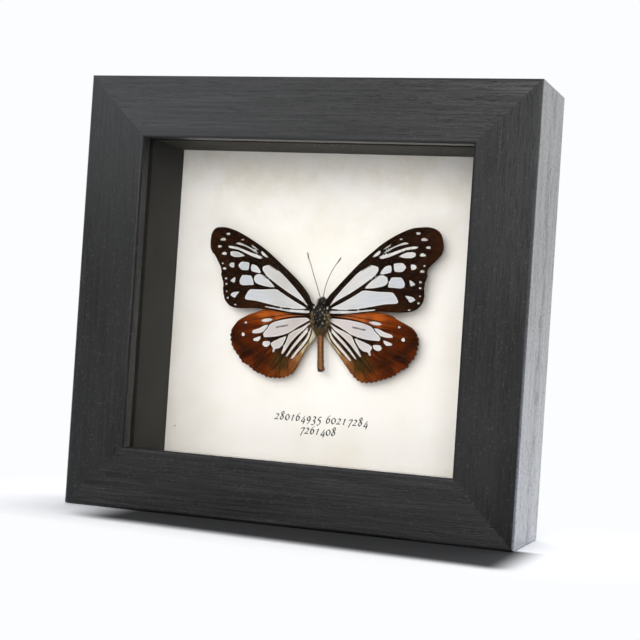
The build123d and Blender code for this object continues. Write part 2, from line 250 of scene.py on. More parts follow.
# %% [markdown]
# ## The sweep
# A real sweep is lit until it is as white as the backdrop. Here the sheet takes shadows only
# near the case: farther off, whatever sees it sees the plain backdrop. A black flag hung over
# a set leaves a dark shadow at the foot of what stands there; here that shadow is painted into
# the sheet as a dark patch, from near the case's left corner to just past its right one.

# %% Floor
FLOOR_REACH = 6.0
# colour and extent of the painted shadow at the case's foot
PAINTED_SHADOW_TONE = (7, 8, 10)
PAINTED_SHADOW_ENDS = [("X", -0.066, -0.046), ("X", 0.086, 0.074), ("Y", -0.012, -0.016, 0.0, 0.97)]


def make_floor():
    """A wide sheet under the case, with the painted shadow at its foot and its plain far parts."""
    mesh = bpy.data.meshes.new("floor")
    square = ((-1, -1), (1, -1), (1, 1), (-1, 1))
    corners = [(x * FLOOR_REACH, y * FLOOR_REACH, 0) for x, y in square]
    mesh.from_pydata(corners, [], [(0, 1, 2, 3)])
    floor = add_object("floor", mesh)
    floor.location.z = -0.0002
    recipe = Recipe("white_sweep", Roughness=0.8, Specular_IOR_Level=0.2)
    point, split = recipe.axes()
    edge = recipe.plus(split["Y"], recipe.times(split["X"], 0.10))
    # painted shadow: a dark patch in the sheet in front of the case's foot
    painted_shadow = recipe.ramp(edge, -0.0545, -0.0415)
    for axis, *span in PAINTED_SHADOW_ENDS:
        painted_shadow = recipe.times(painted_shadow, recipe.ramp(split[axis], *span))
    beyond = point
    for operation, other in (
        ("ABSOLUTE", (0, 0, 0)), ("SUBTRACT", (HALF_WIDTH, -FRONT, 0)), ("MAXIMUM", (0, 0, 0)),
    ):
        beyond = recipe.add("VectorMath", {0: beyond, 1: other}, operation=operation)
    away = recipe.add("VectorMath", {0: beyond}, result="Value", operation="LENGTH")
    sides = recipe.math("SUBTRACT", recipe.ramp(away, 0.006, 0.06), painted_shadow)
    far = recipe.math("MAXIMUM", sides, recipe.ramp(edge, -0.050, -0.070))
    white = recipe.mix(recipe.ramp(away, 0.12, 0.2), (250, 251, 254), (150, 151, 153))
    recipe.finish(Base_Color=recipe.mix(painted_shadow, white, PAINTED_SHADOW_TONE))
    path = recipe.add("LightPath").node.outputs
    camera_ray, glossy_ray, transmission_ray = (path[ray] for ray in SEEN_RAYS)
    seen = recipe.plus(recipe.plus(camera_ray, glossy_ray), transmission_ray)
    plain = recipe.add("Emission", {"Color": BACKDROP})
    parts = {0: recipe.times(far, seen), 1: recipe.shader.outputs[0], 2: plain}
    recipe.put(recipe.add("MixShader", parts), recipe.surface)
    mesh.materials.append(recipe.material)


make_floor()
print("the floor is", 2 * FLOOR_REACH, "m wide")

# %% [markdown]
# ## Lamps
# A large lamp high in front on the left lights the card through the glass, so that the wings
# throw their soft shadow down to the right. A low one in front on the right fills the inner
# walls and the rails, and one over the back lights the top edge. Large lamps near the case
# give soft shadows without any setting for softness.

# %% Lamps
def add_lamp(name, place, aim, size, power):
    """A square lamp that shines from place towards aim."""
    lamp = bpy.data.lights.new(name, "AREA")
    lamp.shape = "SQUARE"
    lamp.size = size
    lamp.energy = power
    holder = add_object(name, lamp)
    holder.location = place
    holder.rotation_euler = (Vector(aim) - Vector(place)).to_track_quat("-Z", "Y").to_euler()
    print(name, "of", power, "W, seen as", round(size / Vector(place).length, 2), "across")


add_lamp("front_lamp", (-0.5, -1.45, 0.87), (0, 0, 0.07), 1.2, 12)
add_lamp("fill_lamp", (0.28, -1.5, 0.3), (0, 0, 0.07), 1.05, 16.4)
add_lamp("overhead_lamp", (0.25, 0.55, 1.6), (0, 0, 0.05), 0.8, 10)

# %% [markdown]
# ## Black stained wood
# The rails are open grained wood under a thin black stain: the pores stay open and run along
# each rail, so they turn at the mitres. The pattern is noise squeezed across the grain and
# drawn out along it. Fine fibres, slower bands and short pores drive the colour, the gloss and
# the bump together, so that the grain looks cut into the wood and not printed on it. Light
# specks in the colour are painted glints. A slow change of tone along the top rail and up the
# uprights is a painted highlight, lighter towards the left end and the top, and each rail's
# tones are raised or lowered a little as painted light and shade. The outer sides and the sill
# are waxed, and hands have rubbed the wax off the sides in blots, short marks and a streak: a
# coat layer whose weight is lowered there shows it. The sides also carry a bluish painted
# sheen, strongest near the foot.

# %% The waxed side of an upright
def waxed_side(recipe, split, bands, tone):
    """Wax on an upright's outer side with its worn places, and a bluish painted sheen on that
    side, strongest near the foot. Gives the wax and the tone."""
    blots = recipe.noise((230, 230, 120), detail=4, roughness=0.65)
    marks = recipe.noise((400, 400, 1100), detail=3, roughness=0.75)
    off_middle = recipe.math("ABSOLUTE", recipe.math("SUBTRACT", split["Y"], 0.001))
    streak = recipe.ramp(off_middle, 0.0015, 0.0065, 1.0, 0.0)
    worn = recipe.times(streak, recipe.ramp(blots, 0.36, 0.62, 0.0, 0.28))
    for wear, *span in (
        (blots, 0.5, 0.7, 0.0, 0.22), (bands, 0.3, 0.65, 0.16, 0.0), (marks, 0.46, 0.62, 0.0, 0.32),
    ):
        worn = recipe.plus(worn, recipe.ramp(wear, *span))
    out = recipe.math("ABSOLUTE", split["X"])
    wax = recipe.ramp(out, HALF_WIDTH - 0.0008, HALF_WIDTH - 0.0002)
    wax = recipe.times(wax, recipe.ramp(split["Z"], 0.02, 0.11, 1.0, 0.76))
    wax = recipe.times(wax, recipe.math("SUBTRACT", 1.0, worn))
    # painted sheen: a pale bluish tone on the waxed side, strongest near the foot
    painted_sheen = recipe.times(wax, recipe.ramp(split["Z"], 0.01, 0.09, 0.95, 0.12))
    return wax, recipe.mix(painted_sheen, tone, (104, 113, 128))


print("wax starts", HALF_WIDTH - 0.0002, "m from the middle")

# %% Stained wood
def stained_wood(name, along, sill=False, painted_lift=0, painted_highlight=0.4):
    """Black stained wood whose grain runs along axis number `along`. Its tones are raised or
    lowered by a given amount as painted light and shade, a given share of painted highlight makes
    it lighter at the top or the left end, and `sill` waxes the top of the bottom rail's lip."""
    recipe = Recipe(name, IOR=1.25, Coat_Roughness=0.1, Coat_IOR=1.85)
    upright = along == 2

    def grainy(length, width, **settings):
        """Noise as long along the grain and as wide across it as given, in metres."""
        stretch = [1 / width] * 3
        stretch[along] = 1 / length
        return recipe.noise(stretch, **settings)

    def lifted(*colour):
        return [value + painted_lift for value in colour]

    sway = grainy(0.05, 0.02, detail=1)
    bands = grainy(0.060, 0.0034, detail=4, distortion=0.3)
    fibres = grainy(0.030, 0.0007, detail=4, roughness=0.7, distortion=0.2)
    pores = recipe.ramp(grainy(0.0055, 0.00038, detail=2, roughness=0.7), 0.57, 0.68)
    grain = recipe.times(recipe.ramp(fibres, 0.32, 0.70), recipe.ramp(bands, 0.2, 0.8, 0.4, 1.0))
    grain = recipe.times(grain, 0.7 if upright else 1.0)
    tone = recipe.mix(grain, lifted(15, 15, 16), lifted(52, 52, 53))
    tone = recipe.mix(recipe.ramp(sway, 0.35, 0.7), tone, (31, 32, 30), "LIGHTEN")
    tone = recipe.mix(recipe.times(pores, 0.6), tone, (9, 9, 10))
    # light specks: painted glints off the grain
    tone = recipe.wash(tone, (84, 85, 86), recipe.noise(1300, detail=2), 0.58, 0.74, 0, 0.24)
    split = recipe.axes()[1]
    if upright:
        # painted highlight: the upright is lighter towards its top
        tone = recipe.wash(tone, lifted(60, 61, 62), split["Z"], 0.07, 0.15, 0.0, painted_highlight)
        wax, tone = waxed_side(recipe, split, bands, tone)
    elif sill:
        wax = recipe.ramp(split["Z"], RAIL_WIDTH - 0.0007, RAIL_WIDTH - 0.0003)
        wax = recipe.times(wax, recipe.ramp(split["Y"], FRONT + 0.0001, FRONT + 0.0008))
    else:
        # painted highlight: the rail is lighter towards its left end
        tone = recipe.wash(tone, (66, 67, 68), split["X"], -HALF_WIDTH, HALF_WIDTH, painted_highlight, 0.0)
        wax = recipe.times(recipe.ramp(bands, 0.5, 0.8), 0.04)
    relief = recipe.times(pores, -0.6)
    for layer, height in ((fibres, 0.8), (bands, 0.6)):
        relief = recipe.plus(relief, recipe.times(layer, height))
    gloss = recipe.ramp(grain, 0.0, 1.0, 0.34, 0.19)
    normal = recipe.bump(relief, 0.0001, 0.6)
    return recipe.finish(Base_Color=tone, Roughness=gloss, Normal=normal, Coat_Weight=wax)


# each rail's tones are raised or lowered as painted light and shade
dress("top_rail", stained_wood("black_stained_wood_top", 0, painted_lift=6, painted_highlight=0.5))
dress("bottom_rail", stained_wood("black_stained_wood_sill", 0, sill=True, painted_lift=4))
dress("left_rail", stained_wood("black_stained_wood_left", 2, painted_highlight=0.55))
dress("right_rail", stained_wood("black_stained_wood_right", 2, painted_lift=-9, painted_highlight=0.15))

# %% [markdown]
# ## Wings: the drawing
# A butterfly's wing is a clear membrane stretched over veins and tiled with coloured scales.
# In this kind most of the scales are dark, and between the veins lie pale windows with few
# scales. One drawing in millimetres serves both sides: the right wings use it as it stands,
# and each left wing is carried over to its own root, tip and lower corner, because a pinned
# specimen is never quite even.

# %% Forewing drawing
FOREWING = [
    (2.1, 72.0), (5.0, 75.9), (8.0, 79.4), (12.5, 84.3), (17.5, 89.0), (20.0, 91.2), (25.0, 94.5),
    (30.0, 96.8), (32.5, 97.2), (35.0, 97.4), (37.2, 97.0), (39.0, 95.9), (40.0, 94.0),
    (40.5, 91.2), (40.2, 89.1), (38.7, 87.1), (37.2, 85.4), (35.9, 83.6), (35.9, 81.2),
    (35.3, 79.4), (35.1, 77.4), (35.3, 75.3), (35.1, 73.8), (34.6, 72.4), (33.3, 70.9),
    (31.4, 69.9), (28.4, 69.4), (25.0, 69.2), (20.0, 69.2), (15.0, 68.5), (10.0, 67.9), (3.1, 67.4),
]
FOREWING_WINDOWS = [
    [(3.4, 70.1), (5.0, 72.8), (8.0, 76.5), (12.0, 80.9), (14.0, 82.6), (16.6, 84.1), (18.1, 84.0),
     (19.3, 83.5), (19.3, 82.4), (17.8, 80.4), (14.0, 77.4), (10.0, 74.6), (7.0, 72.8),
     (5.0, 71.5)],
    [(4.1, 69.4), (7.0, 71.0), (10.0, 72.8), (13.0, 74.7), (14.3, 75.6), (15.5, 75.8), (20.0, 75.6),
     (24.6, 75.6), (25.3, 75.0), (26.2, 73.8), (26.7, 72.6), (26.1, 72.2), (22.5, 71.8),
     (19.0, 71.0), (15.0, 70.1), (12.0, 69.6), (7.8, 69.3)],
    [(15.3, 76.6), (17.8, 79.4), (19.3, 80.7), (21.4, 80.9), (22.5, 80.4), (22.8, 79.4),
     (22.4, 78.2), (21.1, 77.5), (18.1, 76.8)],
    [(23.1, 77.4), (23.6, 79.4), (24.0, 80.4), (27.2, 80.6), (27.8, 80.0), (28.5, 78.7),
     (28.3, 77.6), (27.2, 77.2), (24.9, 77.3)],
    [(20.2, 81.6), (20.8, 82.9), (21.8, 84.0), (23.4, 84.4), (23.8, 83.2), (23.6, 82.2),
     (21.9, 81.7)],
    [(24.5, 84.9), (25.5, 85.2), (27.4, 85.3), (28.6, 84.1), (28.0, 83.1), (27.4, 82.6),
     (25.0, 82.6)],
    [(26.1, 87.5), (27.2, 88.2), (28.7, 88.8), (30.5, 89.0), (31.5, 88.7), (31.4, 87.8),
     (30.2, 87.2), (28.1, 87.1)],
    [(19.6, 87.1), (21.9, 87.9), (25.0, 89.1), (28.4, 90.4), (31.1, 90.9), (32.2, 90.8),
     (31.6, 90.3), (28.4, 89.7), (25.0, 88.2), (22.5, 87.1), (20.5, 86.5), (19.6, 86.6)],
    [(20.6, 88.1), (22.5, 89.6), (25.0, 90.9), (27.8, 92.1), (29.0, 91.8), (26.1, 91.0),
     (24.0, 90.1), (21.9, 88.7)],
    [(20.6, 89.3), (21.4, 90.1), (23.1, 91.2), (22.5, 90.4), (21.4, 89.6)],
    [(17.2, 86.9), (18.0, 87.9), (19.3, 89.0), (19.7, 88.8), (19.3, 87.9), (18.1, 87.1)],
    [(30.3, 85.0), (31.6, 84.9), (32.1, 84.2), (31.6, 83.6), (30.5, 83.4)],
    [(30.1, 79.9), (31.0, 79.5), (32.0, 78.7), (30.6, 78.1)],
    [(29.0, 74.8), (31.4, 74.5), (32.3, 73.7), (30.7, 72.8), (29.9, 73.8)],
    [(3.1, 68.4), (7.8, 68.6), (12.2, 68.9), (16.6, 69.5), (19.2, 69.8), (19.0, 69.6), (15.0, 68.9),
     (10.0, 68.1), (3.1, 67.8)],
]
FOREWING_DOTS = [
    (32.0, 95.2, 0.7, 0.4), (34.1, 93.3, 1.05, 0.45), (35.6, 90.8, 0.75, 0.4),
    (33.9, 88.3, 0.95, 0.5), (34.7, 84.8, 0.35, 0.25), (34.1, 83.0, 0.7, 0.4),
    (33.7, 79.5, 0.45, 0.32), (33.7, 77.6, 0.4, 0.3), (33.8, 75.0, 0.3, 0.22),
    (33.5, 72.7, 0.4, 0.3), (30.6, 70.3, 0.45, 0.2), (26.4, 93.1, 0.45, 0.2),
]
FOREWING_STROKE = [(13.6, 82.4), (15.2, 83.3), (16.6, 83.9)]
print(len(FOREWING_WINDOWS), "windows and", len(FOREWING_DOTS), "dots on a forewing")

# %% Hindwing drawing
HINDWING = [
    (2.5, 67.5), (10.0, 68.4), (16.0, 69.3), (22.0, 68.7), (25.0, 68.0), (26.6, 67.0), (28.3, 66.2),
    (30.0, 65.4), (31.7, 64.5), (32.9, 63.2), (33.9, 61.7), (34.25, 60.3), (34.2, 58.8),
    (33.9, 57.1), (33.4, 55.4), (32.7, 54.2), (31.7, 53.1), (31.0, 51.7), (29.2, 50.6),
    (28.0, 49.7), (26.8, 48.7), (25.0, 47.8), (23.4, 47.2), (21.7, 46.6), (20.0, 46.0),
    (18.0, 45.7), (16.1, 45.6), (14.6, 46.0), (13.1, 47.0), (11.9, 48.2), (10.7, 49.8), (9.5, 51.2),
    (8.0, 53.0), (6.3, 54.9), (4.85, 56.5), (3.4, 58.1), (2.2, 59.8), (1.4, 61.2),
]
HINDWING_WINDOWS = [
    [(3.0, 65.3), (3.9, 66.0), (6.3, 66.0), (10.0, 65.8), (13.6, 65.3), (16.1, 64.8), (17.9, 64.0),
     (19.2, 62.6), (20.5, 61.5), (21.1, 60.5), (20.8, 59.8), (18.5, 59.8), (16.1, 60.0),
     (13.6, 60.5), (11.7, 61.1), (9.5, 62.2), (6.3, 63.8), (3.9, 64.9)],
    [(16.9, 65.6), (18.5, 65.9), (20.5, 65.6), (21.3, 65.1), (20.0, 64.8), (18.3, 65.0)],
    [(18.9, 63.7), (20.2, 63.6), (22.4, 62.6), (24.9, 61.9), (25.3, 61.2), (23.4, 61.0),
     (21.4, 61.4), (19.7, 62.6)],
    [(22.3, 59.9), (23.4, 59.7), (25.2, 59.0), (25.1, 58.6), (23.4, 58.4), (22.5, 59.2)],
    [(18.8, 58.1), (19.7, 58.3), (21.3, 58.2), (21.8, 57.2), (21.0, 56.5), (20.0, 56.6),
     (19.0, 57.3)],
    [(12.4, 59.9), (14.9, 59.2), (17.3, 58.3), (18.3, 57.7), (18.4, 56.9), (17.9, 56.1),
     (18.3, 54.9), (17.9, 54.7), (17.2, 55.8), (15.6, 56.1), (14.4, 57.0), (13.4, 58.3)],
    [(2.9, 64.4), (3.9, 64.0), (6.3, 62.8), (9.5, 61.5), (11.4, 60.4), (12.2, 58.8), (13.4, 57.1),
     (14.6, 55.1), (15.0, 54.2), (14.6, 54.2), (13.4, 55.4), (11.2, 57.8), (8.8, 59.9), (7.0, 61.2),
     (5.1, 62.5), (3.6, 63.4)],
    [(4.1, 62.7), (6.3, 60.7), (8.8, 58.5), (11.2, 56.1), (13.5, 53.3), (13.0, 53.4), (10.7, 55.7),
     (8.3, 57.9), (6.1, 59.8), (4.3, 61.5)],
    [(2.9, 62.8), (3.6, 61.2), (5.1, 59.3), (7.3, 57.1), (9.5, 55.1), (11.7, 52.7), (11.2, 52.6),
     (8.9, 54.7), (6.8, 56.6), (4.6, 58.8), (3.1, 60.7)],
]
HINDWING_DOTS = [(27.3, 64.6, 0.45, 0.35), (28.9, 60.6, 0.6, 0.6)]
HINDWING_STROKE = [(11.4, 63.65), (13.6, 63.3), (15.8, 63.0)]
print(len(HINDWING_WINDOWS), "windows on a hindwing")

# %% The left wings' own outlines, where they stand in the case
LEFT_FOREWING = [
    (-1.9, 70.2), (-2.8, 70.8), (-4.3, 73.6), (-7.5, 77.2), (-12.5, 81.6), (-20.0, 87.4),
    (-25.0, 90.5), (-30.0, 93.0), (-32.5, 93.9), (-35.0, 94.5), (-37.2, 94.6), (-39.1, 94.3),
    (-40.2, 93.3), (-40.8, 91.8), (-40.9, 89.9), (-40.8, 87.8), (-40.2, 86.3), (-38.9, 84.9),
    (-37.8, 83.3), (-36.6, 81.3), (-36.1, 79.9), (-36.0, 78.4), (-35.5, 76.9), (-35.1, 75.5),
    (-35.1, 73.4), (-34.7, 71.6), (-33.9, 69.9), (-32.2, 68.3), (-30.2, 67.7), (-27.5, 67.6),
    (-22.2, 67.9), (-17.8, 67.7), (-11.6, 67.0), (-4.3, 67.0),
]
LEFT_HINDWING = [
    (-2.4, 66.9), (-8.0, 67.8), (-14.0, 68.4), (-20.5, 67.5), (-22.3, 66.8), (-24.8, 65.9),
    (-26.8, 64.9), (-28.7, 63.8), (-29.9, 62.6), (-30.9, 61.2), (-31.6, 59.8), (-31.8, 58.3),
    (-31.4, 56.4), (-30.9, 54.7), (-29.7, 53.0), (-28.5, 51.7), (-27.5, 50.3), (-26.5, 49.3),
    (-25.0, 48.8), (-23.8, 48.0), (-22.4, 47.0), (-20.7, 46.2), (-19.0, 45.8), (-17.5, 45.1),
    (-15.1, 45.0), (-12.6, 45.1), (-10.7, 45.6), (-9.0, 46.6), (-7.7, 48.2), (-6.8, 50.0),
    (-6.0, 52.0), (-5.0, 53.9), (-3.8, 56.1), (-2.4, 57.8), (-1.2, 59.8), (-1.0, 61.4),
]
print(len(LEFT_FOREWING), len(LEFT_HINDWING), "points on the left outlines")

# %% [markdown]
# ## Veins
# The veins fan out from the root and bound the windows. They are stiff tubes: thick where
# they carry the wing, hair-thin at the margin. A list of points is enough for each.

# %% Vein lines
FOREWING_VEINS = [
    [(2.3, 71.2), (5.5, 75.7), (10.0, 80.9), (15.0, 85.8), (20.0, 90.4), (25.0, 93.8),
     (31.0, 96.5)],
    [(2.7, 70.4), (6.2, 75.4), (10.5, 80.3), (14.2, 83.9), (17.0, 85.3), (19.6, 85.7)],
    [(2.8, 69.7), (8.5, 72.7), (13.8, 76.0), (16.6, 78.6), (19.8, 81.2), (19.9, 83.4),
     (19.7, 85.7)],
    [(14.4, 76.2), (19.0, 76.2), (26.0, 76.4), (35.0, 76.4)],
    [(19.7, 81.2), (23.5, 81.3), (28.5, 81.6), (35.7, 80.7)],
    [(19.9, 84.4), (22.0, 85.4), (27.0, 86.2), (32.0, 86.0), (36.8, 85.2)],
    [(19.7, 85.8), (23.5, 86.7), (26.0, 88.2), (30.0, 89.5), (34.0, 89.8), (40.0, 89.6)],
    [(20.0, 87.8), (23.0, 89.0), (27.5, 90.9), (32.5, 92.0), (40.0, 92.8)],
    [(20.3, 89.0), (22.6, 90.3), (25.5, 91.8), (30.0, 93.6), (36.5, 96.0)],
    [(3.0, 68.9), (7.8, 68.95), (11.0, 69.15), (14.0, 69.5), (16.6, 69.95), (20.0, 70.6),
     (27.0, 71.6), (34.4, 72.0)],
    [(24.1, 81.6), (24.1, 84.0), (24.0, 86.0)], [(22.9, 76.2), (23.0, 78.8), (23.3, 81.5)],
]
HINDWING_VEINS = [
    [(3.0, 66.4), (8.0, 66.4), (14.0, 65.6), (18.2, 64.3), (22.6, 63.4), (28.0, 62.4),
     (33.4, 61.6)],
    [(3.2, 66.9), (9.0, 67.2), (16.0, 66.6), (23.0, 65.7), (30.6, 64.4)],
    [(18.3, 64.1), (19.2, 62.9), (20.4, 61.8), (21.8, 60.7), (27.0, 59.9), (34.0, 58.6)],
    [(21.6, 60.8), (21.6, 59.4), (22.0, 58.4), (26.0, 56.4), (32.6, 54.2)],
    [(3.2, 65.0), (7.0, 63.2), (11.8, 60.7), (16.0, 59.7), (21.6, 59.2)],
    [(18.4, 59.2), (18.7, 57.6), (19.6, 56.1), (22.0, 53.9), (27.6, 49.4)],
    [(11.9, 60.5), (13.0, 58.3), (14.3, 56.6), (16.0, 54.4), (22.0, 46.8)],
    [(3.4, 63.7), (5.2, 62.1), (7.2, 60.6), (9.6, 58.4), (12.2, 55.8), (15.6, 51.4), (17.0, 45.9)],
    [(3.2, 62.6), (4.9, 60.4), (7.5, 57.9), (10.0, 55.5), (12.6, 52.6), (13.4, 47.4)],
    [(2.7, 62.0), (4.2, 58.9), (6.6, 56.3), (9.2, 53.9)],
]
print(len(FOREWING_VEINS) + len(HINDWING_VEINS), "veins on each side")

# %% [markdown]
# ## From a drawing to a wing
# Each outline is rounded with a Catmull-Rom curve, which passes through every drawn point.
# A constrained triangulation then makes a net whose edges follow the windows exactly, so
# that a window's border can be sharp without a texture. Each corner of the net stores how
# far it is from that border, from the veins and from the rim, and the material reads these.

# %% Rounding a drawn line
def rounded(points, step, closed=True, crisp=0.0):
    """Points about `step` apart on a centripetal Catmull-Rom curve through the given ones,
    drawn back by `crisp` towards the straight lines between them."""
    points = [np.array(point, float) for point in points]
    count = len(points)
    spans = count if closed else count - 1
    line = []
    for index in range(spans):
        if closed:
            four = [points[(index + shift) % count] for shift in (-1, 0, 1, 2)]
        else:
            four = [points[min(max(index + shift, 0), count - 1)] for shift in (-1, 0, 1, 2)]
            if index == 0:
                four[0] = 2 * four[1] - four[2]
            if index == spans - 1:
                four[3] = 2 * four[2] - four[1]
        knots = [0.0]
        for first, second in zip(four, four[1:]):
            knots.append(knots[-1] + max(math.sqrt(np.linalg.norm(second - first)), 1e-6))
        pieces = max(1, round(np.linalg.norm(four[2] - four[1]) / step))
        for piece in range(pieces):
            t = knots[1] + (knots[2] - knots[1]) * piece / pieces
            level = four
            for width in (1, 2, 3):
                joined = []
                for place in range(4 - width):
                    low, high = knots[place], knots[place + width]
                    if width == 3:
                        low, high = knots[1], knots[2]
                    share = (t - low) / (high - low)
                    joined.append(level[place] * (1 - share) + level[place + 1] * share)
                level = joined
            share = piece / pieces
            straight = four[1] * (1 - share) + four[2] * share
            line.append(level[0] * (1 - crisp) + straight * crisp)
    if not closed:
        line.append(points[-1])
    return np.array(line)


print("a rounded forewing outline has", len(rounded(FOREWING, 0.3)), "points")

# %% Distances in the drawing
def distance(points, line, closed=True):
    """How far each point is from a line through the given points."""
    starts = line if closed else line[:-1]
    ends = np.roll(line, -1, axis=0) if closed else line[1:]
    run = ends - starts
    away = points[:, None, :] - starts[None, :, :]
    share = np.einsum("psk,sk->ps", away, run) / np.maximum((run**2).sum(axis=1), 1e-12)
    away -= np.clip(share, 0, 1)[:, :, None] * run[None, :, :]
    return np.sqrt((away**2).sum(axis=2).min(axis=1))


def within(points, loop):
    """True for each point inside a closed loop."""
    x, z = points[:, 0][:, None], points[:, 1][:, None]
    ends = np.roll(loop, -1, axis=0)
    x1, z1, x2, z2 = loop[:, 0], loop[:, 1], ends[:, 0], ends[:, 1]
    crosses = (z1 > z) != (z2 > z)
    rise = np.where(z2 == z1, 1e-12, z2 - z1)
    return ((x < x1 + (z - z1) / rise * (x2 - x1)) & crosses).sum(axis=1) % 2 == 1


a_line, a_point = np.array([(-1.0, 0.0), (1.0, 0.0)]), np.array([(0.0, 2.0)])
print("a point 2 mm off a line is", distance(a_point, a_line, closed=False), "mm away")

# %% [markdown]
# ## Where each wing lies
# The left wings stand a little differently, so three corners of the drawing are carried to
# three corners of the real wing, and all else follows by one linear map. In depth a dry wing
# is bowed towards the glass and a little wavy, which a circle and two sines describe.

# %% Carrying the drawing to each wing
CAMBER_RADIUS = 260.0
CAMBER_CENTRE = 20.0
MEMBRANE = 0.3
VEIN_RISE = 0.13
TOWARDS_GLASS = 0.22
WAVE = 0.09
LAYERS = {"forewing": 9.35, "hindwing": 10.65}
ROOTS = {"forewing": (-4.0, 68.0), "hindwing": (0.0, 66.0)}
CORNERS = {
    "forewing": [(2.8, 69.5), (34.0, 97.3), (31.0, 70.0)],
    "hindwing": [(2.8, 65.4), (34.0, 60.0), (17.0, 45.7)],
}
LEFT_CORNERS = {
    "forewing": [(-3.6, 69.1), (-36.5, 94.3), (-30.4, 68.4)],
    "hindwing": [(-3.6, 65.2), (-31.6, 58.0), (-13.0, 44.8)],
}


def carried(points, kind, side, back=False):
    """Carries drawn points (x, z) to their place on the right (1) or left (-1) wing, or back
    again to the drawing."""
    if side == 1:
        return np.array(points, float)
    ends = [CORNERS[kind], LEFT_CORNERS[kind]]
    if back:
        ends.reverse()
    start = np.column_stack([np.array(ends[0], float), np.ones(3)])
    carry = np.linalg.solve(start, np.array(ends[1], float))
    return np.column_stack([points, np.ones(len(points))]) @ carry


def wing_depth(placed, kind, side):
    """Depth in the case of a wing's middle surface: bowed to the glass and a little wavy."""
    away = placed[:, 0] - SPECIMEN_X - side * CAMBER_CENTRE
    camber = CAMBER_RADIUS - np.sqrt(CAMBER_RADIUS**2 - away**2)
    wave = np.sin(placed[:, 0] * 0.31 * side + placed[:, 1] * 0.23)
    wave += 0.6 * np.sin(placed[:, 0] * 0.12 - placed[:, 1] * 0.53)
    return LAYERS[kind] + camber - TOWARDS_GLASS + WAVE * wave


print("left forewing tip", carried([(40.5, 91.2)], "forewing", -1).round(1))

# %% [markdown]
# ## Colours by area
# The ground turns from black-brown at the root to rust at the rim, and the windows from cream
# to blue-grey. Each table below holds soft spots as a painter would lay them: a place, a reach
# and a colour. Every corner of the net takes a blend of the spots near it.

# %% Spots of colour
FOREWING_GROUND = [
    (4, 75, 4, (30, 23, 17)), (12, 84, 3, (32, 22, 14)), (20, 90, 3, (25, 14, 8)),
    (30, 95, 4, (32, 15, 6)), (36, 96.5, 2, (39, 18, 8)), (38.5, 93, 2.2, (54, 26, 8)),
    (39.5, 89.5, 1.5, (49, 23, 8)), (36.5, 86, 2, (35, 15, 6)), (31, 81, 4, (28, 13, 6)),
    (33, 74, 4, (30, 15, 6)), (27, 70.5, 2, (52, 26, 9)), (21, 70, 2, (56, 28, 9)),
    (14, 77, 4, (22, 12, 7)), (8, 68.6, 2, (28, 16, 9)),
]
FOREWING_GLAZE = [
    (8, 75, 4, (212, 208, 204)), (15, 81, 4, (214, 211, 207)), (10, 71, 4, (206, 207, 208)),
    (20, 73, 4, (201, 203, 207)), (25, 79, 4, (198, 202, 208)), (20, 79, 3, (208, 208, 208)),
    (28, 88, 4, (213, 211, 207)), (21, 83, 2, (208, 211, 213)), (10, 68, 1, (212, 202, 198)),
]
LEFT_GLAZE = {
    "forewing": [
        (28.8, 88, 1.6, (140, 146, 150)), (26.5, 84, 1.8, (176, 184, 194)),
        (31.5, 84.5, 1.2, (176, 180, 184)), (13, 79, 5, (184, 179, 171)),
        (12, 71.5, 4, (194, 193, 190)),
    ],
    "hindwing": [
        (8, 64.5, 3, (172, 156, 152)), (9, 59, 3, (186, 168, 158)), (17, 60, 3, (198, 184, 176)),
    ],
}
HINDWING_GROUND = [
    (3.5, 66.8, 1.5, (51, 32, 20)), (8, 67.4, 2.5, (172, 106, 66)), (14, 67.6, 3, (204, 106, 46)),
    (20, 67.8, 2.6, (196, 97, 31)), (25, 66.4, 2.2, (134, 57, 13)), (17, 66.3, 1.3, (113, 45, 11)),
    (24, 64, 2.5, (107, 39, 7)), (29, 63, 2.2, (84, 32, 6)), (33, 60.5, 1.2, (42, 17, 5)),
    (31, 61.5, 1.2, (57, 22, 5)), (27.5, 59.5, 2, (99, 38, 7)), (28.5, 54.8, 1.9, (32, 13, 5)),
    (30.6, 57.3, 1.2, (46, 19, 5)), (24, 56.5, 1.8, (80, 31, 7)), (32, 55.6, 1.3, (99, 39, 10)),
    (20, 54.4, 1.8, (84, 34, 9)), (22.6, 53, 1.8, (46, 19, 6)), (27.6, 51.4, 1.5, (111, 43, 10)),
    (25, 50.8, 1.2, (59, 24, 7)), (22.8, 49, 1.6, (96, 39, 10)), (19, 47.2, 1.8, (126, 60, 20)),
    (14.8, 47.2, 1.5, (136, 76, 32)), (15.6, 51.6, 2.1, (67, 53, 22)),
    (18.2, 50.4, 1.5, (63, 38, 14)), (11.4, 50.8, 1.3, (142, 86, 44)),
    (9.2, 53, 1.2, (178, 126, 78)), (6, 56.2, 1.2, (220, 196, 154)),
    (3, 59.8, 1.2, (232, 220, 186)), (12.5, 57.5, 2.5, (32, 20, 11)), (8, 61, 2.5, (23, 16, 10)),
    (16.5, 59.5, 1.5, (28, 15, 7)), (21.5, 61.5, 1.2, (67, 28, 8)), (14, 54.4, 1.5, (40, 25, 11)),
]
HINDWING_GLAZE = [
    (6, 65, 3, (213, 201, 197)), (12, 63.5, 4, (208, 200, 198)), (18, 61, 3, (204, 201, 202)),
    (16, 57.5, 3, (203, 197, 194)), (9, 60, 3, (202, 190, 180)), (5, 59, 3, (230, 215, 193)),
    (11, 54, 2, (226, 203, 184)), (23, 61.5, 2, (219, 210, 204)), (20, 57.5, 2, (214, 212, 210)),
]


def shaded(points, areas):
    """Each point's colour, blended from areas given as (x, z, reach, colour)."""
    total = np.zeros((len(points), 4))
    weights = np.full((len(points), 1), 1e-9)
    for x, z, reach, colour in areas:
        gap = ((points - (x, z)) ** 2).sum(axis=1) / reach**2
        weight = np.exp(-gap)[:, None] + 0.002 / (1 + gap[:, None]) ** 2
        total += weight * np.array(chart(*colour))
        weights += weight
    return total / weights


print(len(HINDWING_GROUND), "shaded areas on a hindwing")

